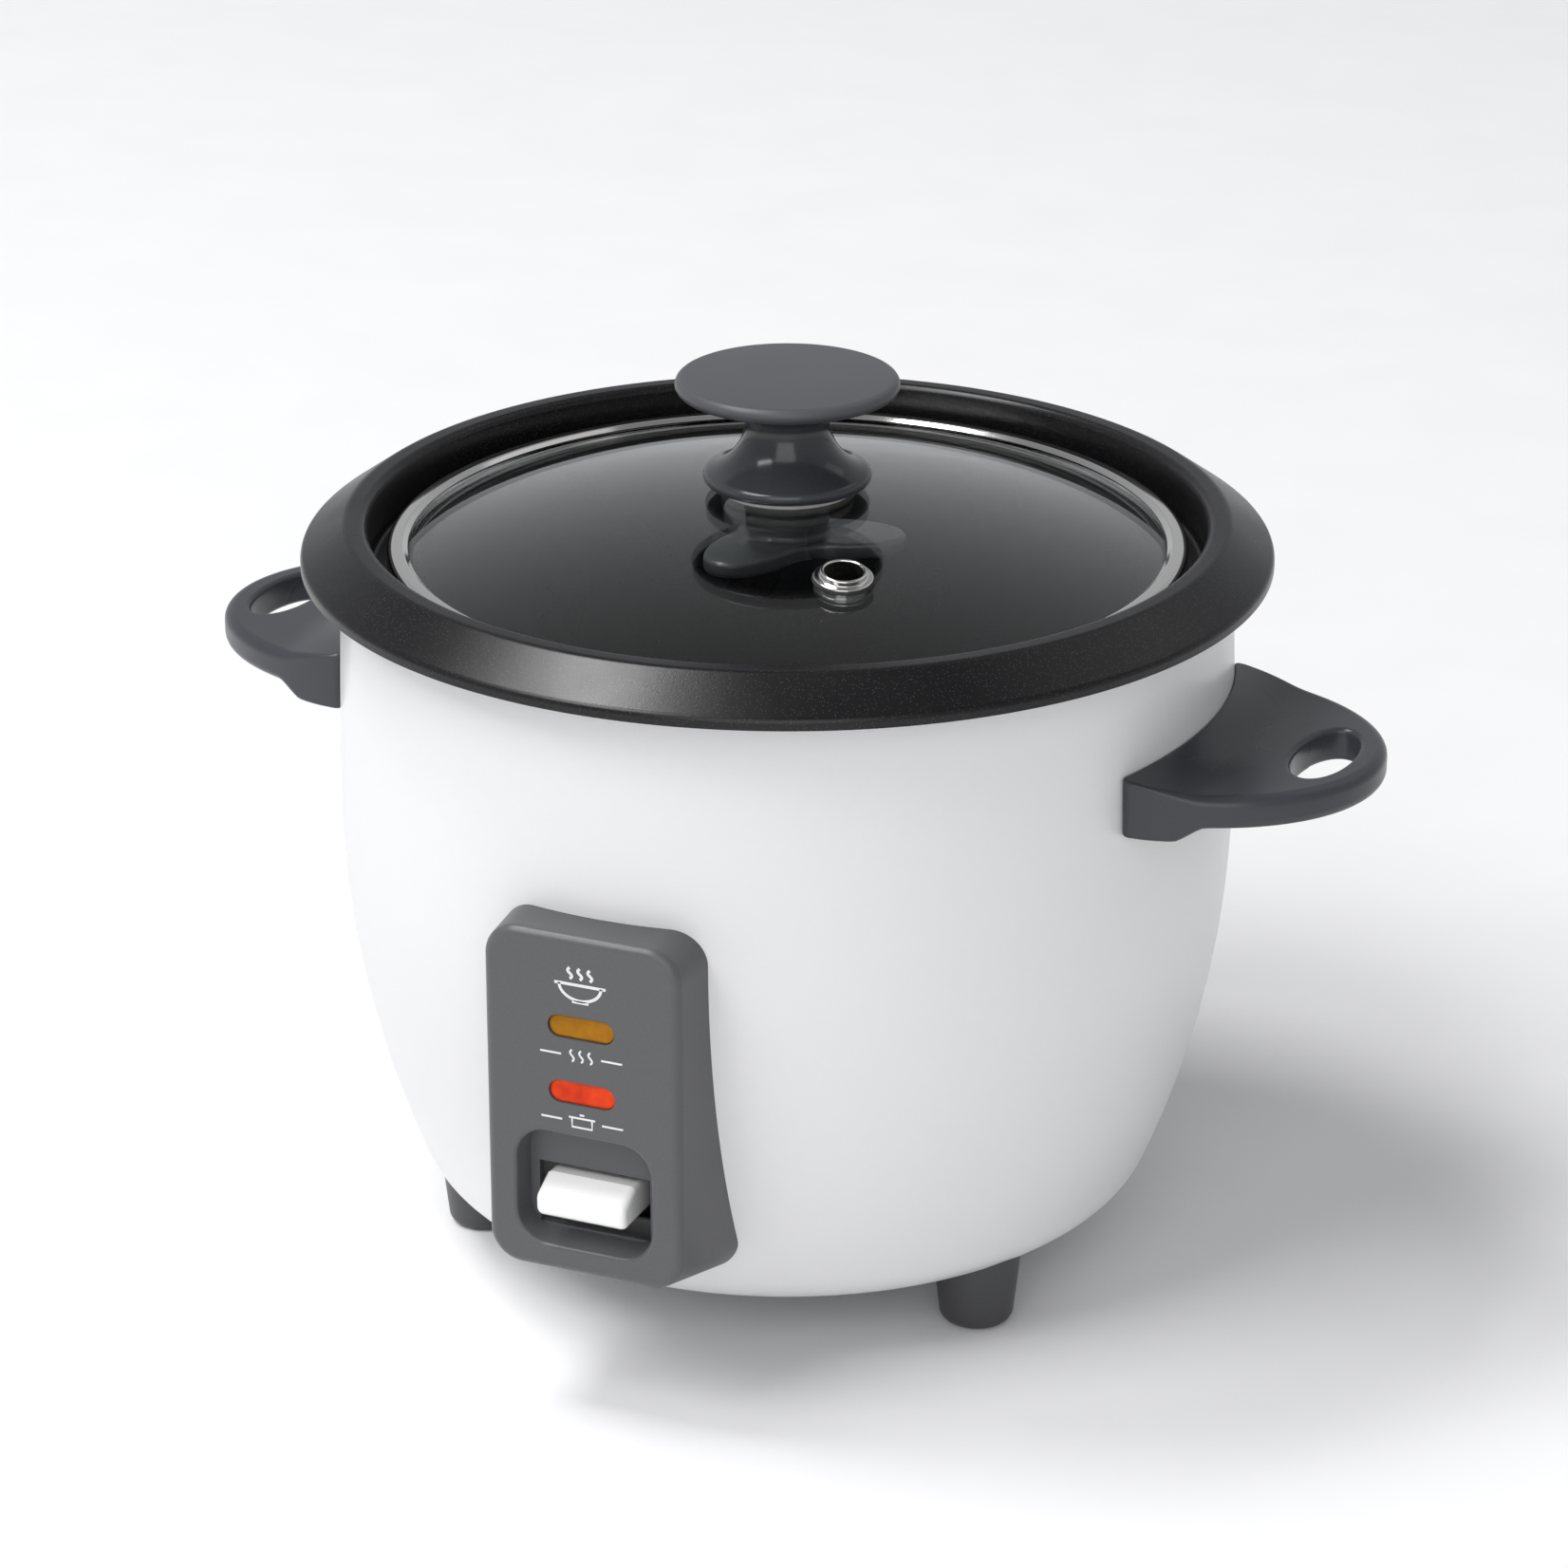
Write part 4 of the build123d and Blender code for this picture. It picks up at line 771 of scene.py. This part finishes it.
def build_nut():
    """Three-lobed plate with rounded edges, a screw recess below and a boss up to the glass."""
    low_z = corner_mm("knob_nut")[0].z
    top_z = low_z + NUT_THICKNESS
    edge = []
    for step in range(NUT_EDGE_STEPS + 1):
        angle = math.pi / 2 * step / NUT_EDGE_STEPS
        edge.append((NUT_EDGE * (1 - math.sin(angle)), NUT_EDGE * (1 - math.cos(angle))))
    levels = [(inset, low_z + rise) for inset, rise in edge]
    levels += [(inset, top_z - rise) for inset, rise in edge[::-1]]
    bend = glass_bend()
    under_z = dome_apex() - bend + math.sqrt((bend - GLASS_SHEET)**2 - BOSS_RADIUS**2) - 0.02
    boss = rounded([(BOSS_RADIUS + 2.0, top_z, 0), (BOSS_RADIUS, top_z, 1.2), (BOSS_RADIUS, under_z, 0)], 5)
    boss += [Vector((NUT_BORE_MOUTH, under_z)), Vector((NUT_BORE, under_z))]
    boss += [Vector((NUT_BORE, low_z + NUT_RECESS_DEPTH)), Vector((NUT_RECESS, low_z + NUT_RECESS_DEPTH))]
    work = bmesh.new()
    recess = nut_ring(work, low_z, lambda angle: NUT_RECESS)
    rings = [recess]
    for inset, z in levels:
        rings.append(nut_ring(work, z, lambda angle: nut_reach(angle) - inset))
    for radius, z in boss:
        rings.append(nut_ring(work, z, lambda angle: radius))
    rings.append(recess)
    for lower, upper in zip(rings, rings[1:]):
        for index in range(NUT_SEGMENTS):
            following = (index + 1) % NUT_SEGMENTS
            work.faces.new((lower[index], lower[following], upper[following], upper[index]))
    mesh = bpy.data.meshes.new("nut_plate")
    work.to_mesh(mesh)
    work.free()
    add_piece("nut_plate", tidy(mesh), NUT_PLASTIC, "knob_grey", "lid", "knob_nut")


# --- handles ------------------------------------------------------------------------------------
HANDLE_CENTRE_X = 88.0
PADDLE_LOW_Z = 119.0
PADDLE_HIGH_Z = 126.0
FOOT_LOW_Z = 116.0
FOOT_END_X = 98.9
FOOT_RAMP = 5.4
CREASE_X = 102.8
CREASE_SOFTNESS = 0.13
SADDLE_RISE = 3.5
SADDLE_FALL = 0.8
HOLE_CENTRE_X = 119.3
HOLE_HALF_DEPTH = 6.0
HOLE_HALF_WIDTH = 13.8
HOLE_EDGE = 1.1
CORNER_REACH = 1.9


def wall_radius(z):
    """Outer radius of the painted body above its waist."""
    return corner_mm("outer_shell")[1].x - UPPER_BEND + math.sqrt(UPPER_BEND**2 - (z - WAIST_Z)**2)


def smooth_step(value, low, high):
    share = min(max((value - low) / (high - low), 0.0), 1.0)
    return share * share * (3 - 2 * share)


def handle_top(x, y):
    """Flat paddle that climbs to the body in a soft-edged ramp, a little lower at the ends."""
    width = corner_mm("handle_right")[1].y
    at_wall = math.sqrt(wall_radius(PADDLE_HIGH_Z)**2 - min(abs(y), width)**2)
    climb = (CREASE_X - x) / (CREASE_X - at_wall)
    climb = (climb + math.hypot(climb, CREASE_SOFTNESS)) / 2
    return PADDLE_HIGH_Z + (SADDLE_RISE - SADDLE_FALL * (y / width)**2) * climb


def handle_bottom(x):
    share = min(max((FOOT_END_X + FOOT_RAMP - x) / FOOT_RAMP, 0.0), 1.0)
    share += 0.35 * (smooth_step(share, 0, 1) - share)
    return PADDLE_LOW_Z - (PADDLE_LOW_Z - FOOT_LOW_Z) * share


def bend_corner(first, corner, last, steps=6):
    """Points of a curve that leaves first towards the corner and arrives at last."""
    points = []
    for step in range(steps + 1):
        share = step / steps
        points.append(first * (1 - share)**2 + corner * (2 * share * (1 - share)) + last * share**2)
    return points


def handle_outline():
    """Plan of the right-hand handle: half an ellipse closed by the body's round wall."""
    reach = corner_mm("handle_right")[1].x - HANDLE_CENTRE_X
    width = corner_mm("handle_right")[1].y
    wall = wall_radius(PADDLE_HIGH_Z)
    side = math.asin(width / wall) - 0.004
    corner = Vector((wall * math.cos(side), wall * math.sin(side)))
    trim = CORNER_REACH / wall
    tip_turn = math.radians(90) - CORNER_REACH / reach
    oval = []
    for step in range(97):
        turn = tip_turn * (step / 48 - 1)
        oval.append(Vector((HANDLE_CENTRE_X + reach * math.cos(turn), width * math.sin(turn))))
    back = []
    for step in range(61):
        turn = (side - trim) * (1 - step / 30)
        back.append(Vector((wall * math.cos(turn), wall * math.sin(turn))))
    upper = bend_corner(oval[-1], corner, back[0])
    lower = bend_corner(back[-1], Vector((corner.x, -corner.y)), oval[0])
    return oval + upper[1:-1] + back + lower[1:-1], len(oval)


def handle_rings():
    """Closed series of rings: over the top from the hole, round the rim, and back underneath."""
    outline, oval_count = handle_outline()
    count = len(outline)
    inward, edge, hole = [], [], []
    for index, point in enumerate(outline):
        along = (outline[(index + 1) % count] - outline[index - 1]).normalized()
        inward.append(Vector((-along.y, along.x)))
        soft = 0.7 + 1.6 * smooth_step(point.x, 92, 108)
        edge.append(soft if index < oval_count else 0.7)
        aim = math.atan2(point.y / HOLE_HALF_WIDTH, (point.x - HOLE_CENTRE_X) / HOLE_HALF_DEPTH)
        hole.append(Vector((math.cos(aim), math.sin(aim))))
    steps = 6
    spans = [0.04, 0.12, 0.25, 0.4, 0.55, 0.7, 0.82, 0.92, 0.97]

    def hole_point(index, grow):
        spot = hole[index]
        return Vector((HOLE_CENTRE_X + (HOLE_HALF_DEPTH + grow) * spot.x, (HOLE_HALF_WIDTH + grow) * spot.y))

    def face_ring(height, share):
        ring = []
        for index in range(count):
            near = hole_point(index, HOLE_EDGE)
            far = outline[index] + inward[index] * edge[index]
            spot = near.lerp(far, share)
            ring.append((spot.x, spot.y, height(spot.x, spot.y)))
        return ring

    def edge_ring(height, sign, angle):
        ring = []
        for index in range(count):
            spot = outline[index] + inward[index] * (edge[index] * (1 - math.sin(angle)))
            z = height(spot.x, spot.y) - sign * edge[index] * (1 - math.cos(angle))
            ring.append((spot.x, spot.y, z))
        return ring

    def hole_ring(height, sign, angle):
        ring = []
        for index in range(count):
            spot = hole_point(index, HOLE_EDGE * (1 - math.sin(angle)))
            ring.append((spot.x, spot.y, height(spot.x, spot.y) - sign * HOLE_EDGE * (1 - math.cos(angle))))
        return ring

    def under(x, _):
        return handle_bottom(x)

    quarter = [math.pi / 2 * step / steps for step in range(steps + 1)]
    rings = [hole_ring(handle_top, 1, angle) for angle in quarter[::-1]]
    rings += [face_ring(handle_top, share) for share in spans]
    rings += [edge_ring(handle_top, 1, angle) for angle in quarter]
    rings += [edge_ring(under, -1, angle) for angle in quarter[::-1]]
    rings += [face_ring(under, share) for share in spans[::-1]]
    rings += [hole_ring(under, -1, angle) for angle in quarter]
    return rings, oval_count


def build_handle(side, name, node):
    rings, oval_count = handle_rings()
    work = bmesh.new()
    levels = []
    for ring in rings:
        level = []
        for index, (x, y, z) in enumerate(ring):
            if index >= oval_count:
                shift = (wall_radius(z) - wall_radius(PADDLE_HIGH_Z)) / wall_radius(PADDLE_HIGH_Z)
                x, y = x * (1 + shift), y * (1 + shift)
            level.append(work.verts.new((side * x * MM, y * MM, z * MM)))
        levels.append(level)
    for lower, upper in zip(levels, levels[1:] + levels[:1]):
        for index in range(len(lower)):
            following = (index + 1) % len(lower)
            work.faces.new((lower[index], lower[following], upper[following], upper[index]))
    mesh = bpy.data.meshes.new(name)
    work.to_mesh(mesh)
    work.free()
    add_piece(name, tidy(mesh), HANDLE_PLASTIC, "handle_grey", "base", node)


# --- springs ------------------------------------------------------------------------------------
def build_spring(name, node):
    """A coil copied from the CAD node's mesh, in spring wire, riding on the base."""
    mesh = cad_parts[node].data.copy()
    mesh.name = name
    mesh.materials.clear()
    spring = add_piece(name, mesh, SPRING_WIRE, "spring_steel", "base", node)
    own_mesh(spring)


def build_springs():
    build_spring("sensor_coil", "sensor_spring")
    build_spring("magnet_coil", "magnet_spring")


# --- printed marks ------------------------------------------------------------------------------
INK_HEIGHT = 0.05
INK_SINK = 0.02


def stroke(work, points, width, face_y):
    """A flat ribbon of ink along (x, z) points, standing just proud of the panel's face."""
    lefts, rights = [], []
    for index, point in enumerate(points):
        before = Vector(points[max(index - 1, 0)])
        after = Vector(points[min(index + 1, len(points) - 1)])
        along = (after - before).normalized()
        side = Vector((-along.y, along.x)) * width / 2
        here = Vector(point)
        lefts.append(here + side)
        rights.append(here - side)
    outline = lefts + rights[::-1]
    front = [work.verts.new((p.x * MM, (face_y - INK_HEIGHT) * MM, p.y * MM)) for p in outline]
    back = [work.verts.new((p.x * MM, (face_y + INK_SINK) * MM, p.y * MM)) for p in outline]
    count = len(front)
    half = len(points)
    for index in range(half - 1):
        other = count - 1 - index
        work.faces.new((front[index], front[index + 1], front[other - 1], front[other]))
        work.faces.new((back[other], back[other - 1], back[index + 1], back[index]))
    for index in range(count):
        following = (index + 1) % count
        work.faces.new((front[index], back[index], back[following], front[following]))


def wavy(x, low_z, high_z, swing, steps=12):
    """A rising line that sways once to each side."""
    return [(x + swing * math.sin(2 * math.pi * k / steps), low_z + (high_z - low_z) * k / steps)
            for k in range(steps + 1)]


def curve_points(centre, radius_x, radius_z, start, end, steps=16):
    points = []
    for k in range(steps + 1):
        angle = math.radians(start + (end - start) * k / steps)
        points.append((centre[0] + radius_x * math.cos(angle), centre[1] + radius_z * math.sin(angle)))
    return points


def add_mark(name, strokes, width):
    face_y = corner_mm("control_panel")[0].y
    work = bmesh.new()
    for points in strokes:
        stroke(work, points, width, face_y)
    mesh = bpy.data.meshes.new(name)
    work.to_mesh(mesh)
    work.free()
    add_piece(name, tidy(mesh), MARK_INK, "panel_grey", "base")


def build_marks():
    """Plain pictograms: a steaming bowl, a heat sign under one lamp and a pot under the other."""
    amber_z = sum(corner_mm("amber_lens")[i].z for i in (0, 1)) / 2
    red_z = sum(corner_mm("red_lens")[i].z for i in (0, 1)) / 2
    bowl_z = amber_z + 9.6
    bowl = [curve_points((0, bowl_z), 4.6, 3.4, 180, 360), [(-5.6, bowl_z), (5.6, bowl_z)],
            [(-1.8, bowl_z - 3.7), (1.8, bowl_z - 3.7)]]
    steam = [wavy(x, bowl_z + 1.2, bowl_z + 3.6, 0.45) for x in (-2.2, 0, 2.2)]
    add_mark("bowl_mark", bowl + steam, 0.62)
    warm_z = amber_z - 6.0
    warm = [wavy(x, warm_z - 1.3, warm_z + 1.3, 0.4) for x in (-2.0, 0, 2.0)]
    warm += [[(-9.0, warm_z), (-4.4, warm_z)], [(4.4, warm_z), (9.0, warm_z)]]
    add_mark("warm_mark", warm, 0.42)
    cook_z = red_z - 6.0
    pot = [[(-2.2, cook_z + 0.6), (-2.2, cook_z - 1.3), (2.2, cook_z - 1.3), (2.2, cook_z + 0.6)],
           [(-2.9, cook_z + 0.75), (2.9, cook_z + 0.75)], [(-0.5, cook_z + 1.5), (0.5, cook_z + 1.5)]]
    pot += [[(-9.0, cook_z), (-4.4, cook_z)], [(4.4, cook_z), (9.0, cook_z)]]
    add_mark("cook_mark", pot, 0.42)


# --- everything together ------------------------------------------------------------------------
add_camera()
add_studio()
dress_cad_nodes()
build_shell()
build_pot()
build_glass()
build_lid_band()
build_vent()
build_knob()
build_nut()
build_handle(1, "right_grip", "handle_right")
build_handle(-1, "left_grip", "handle_left")
build_springs()
build_marks()
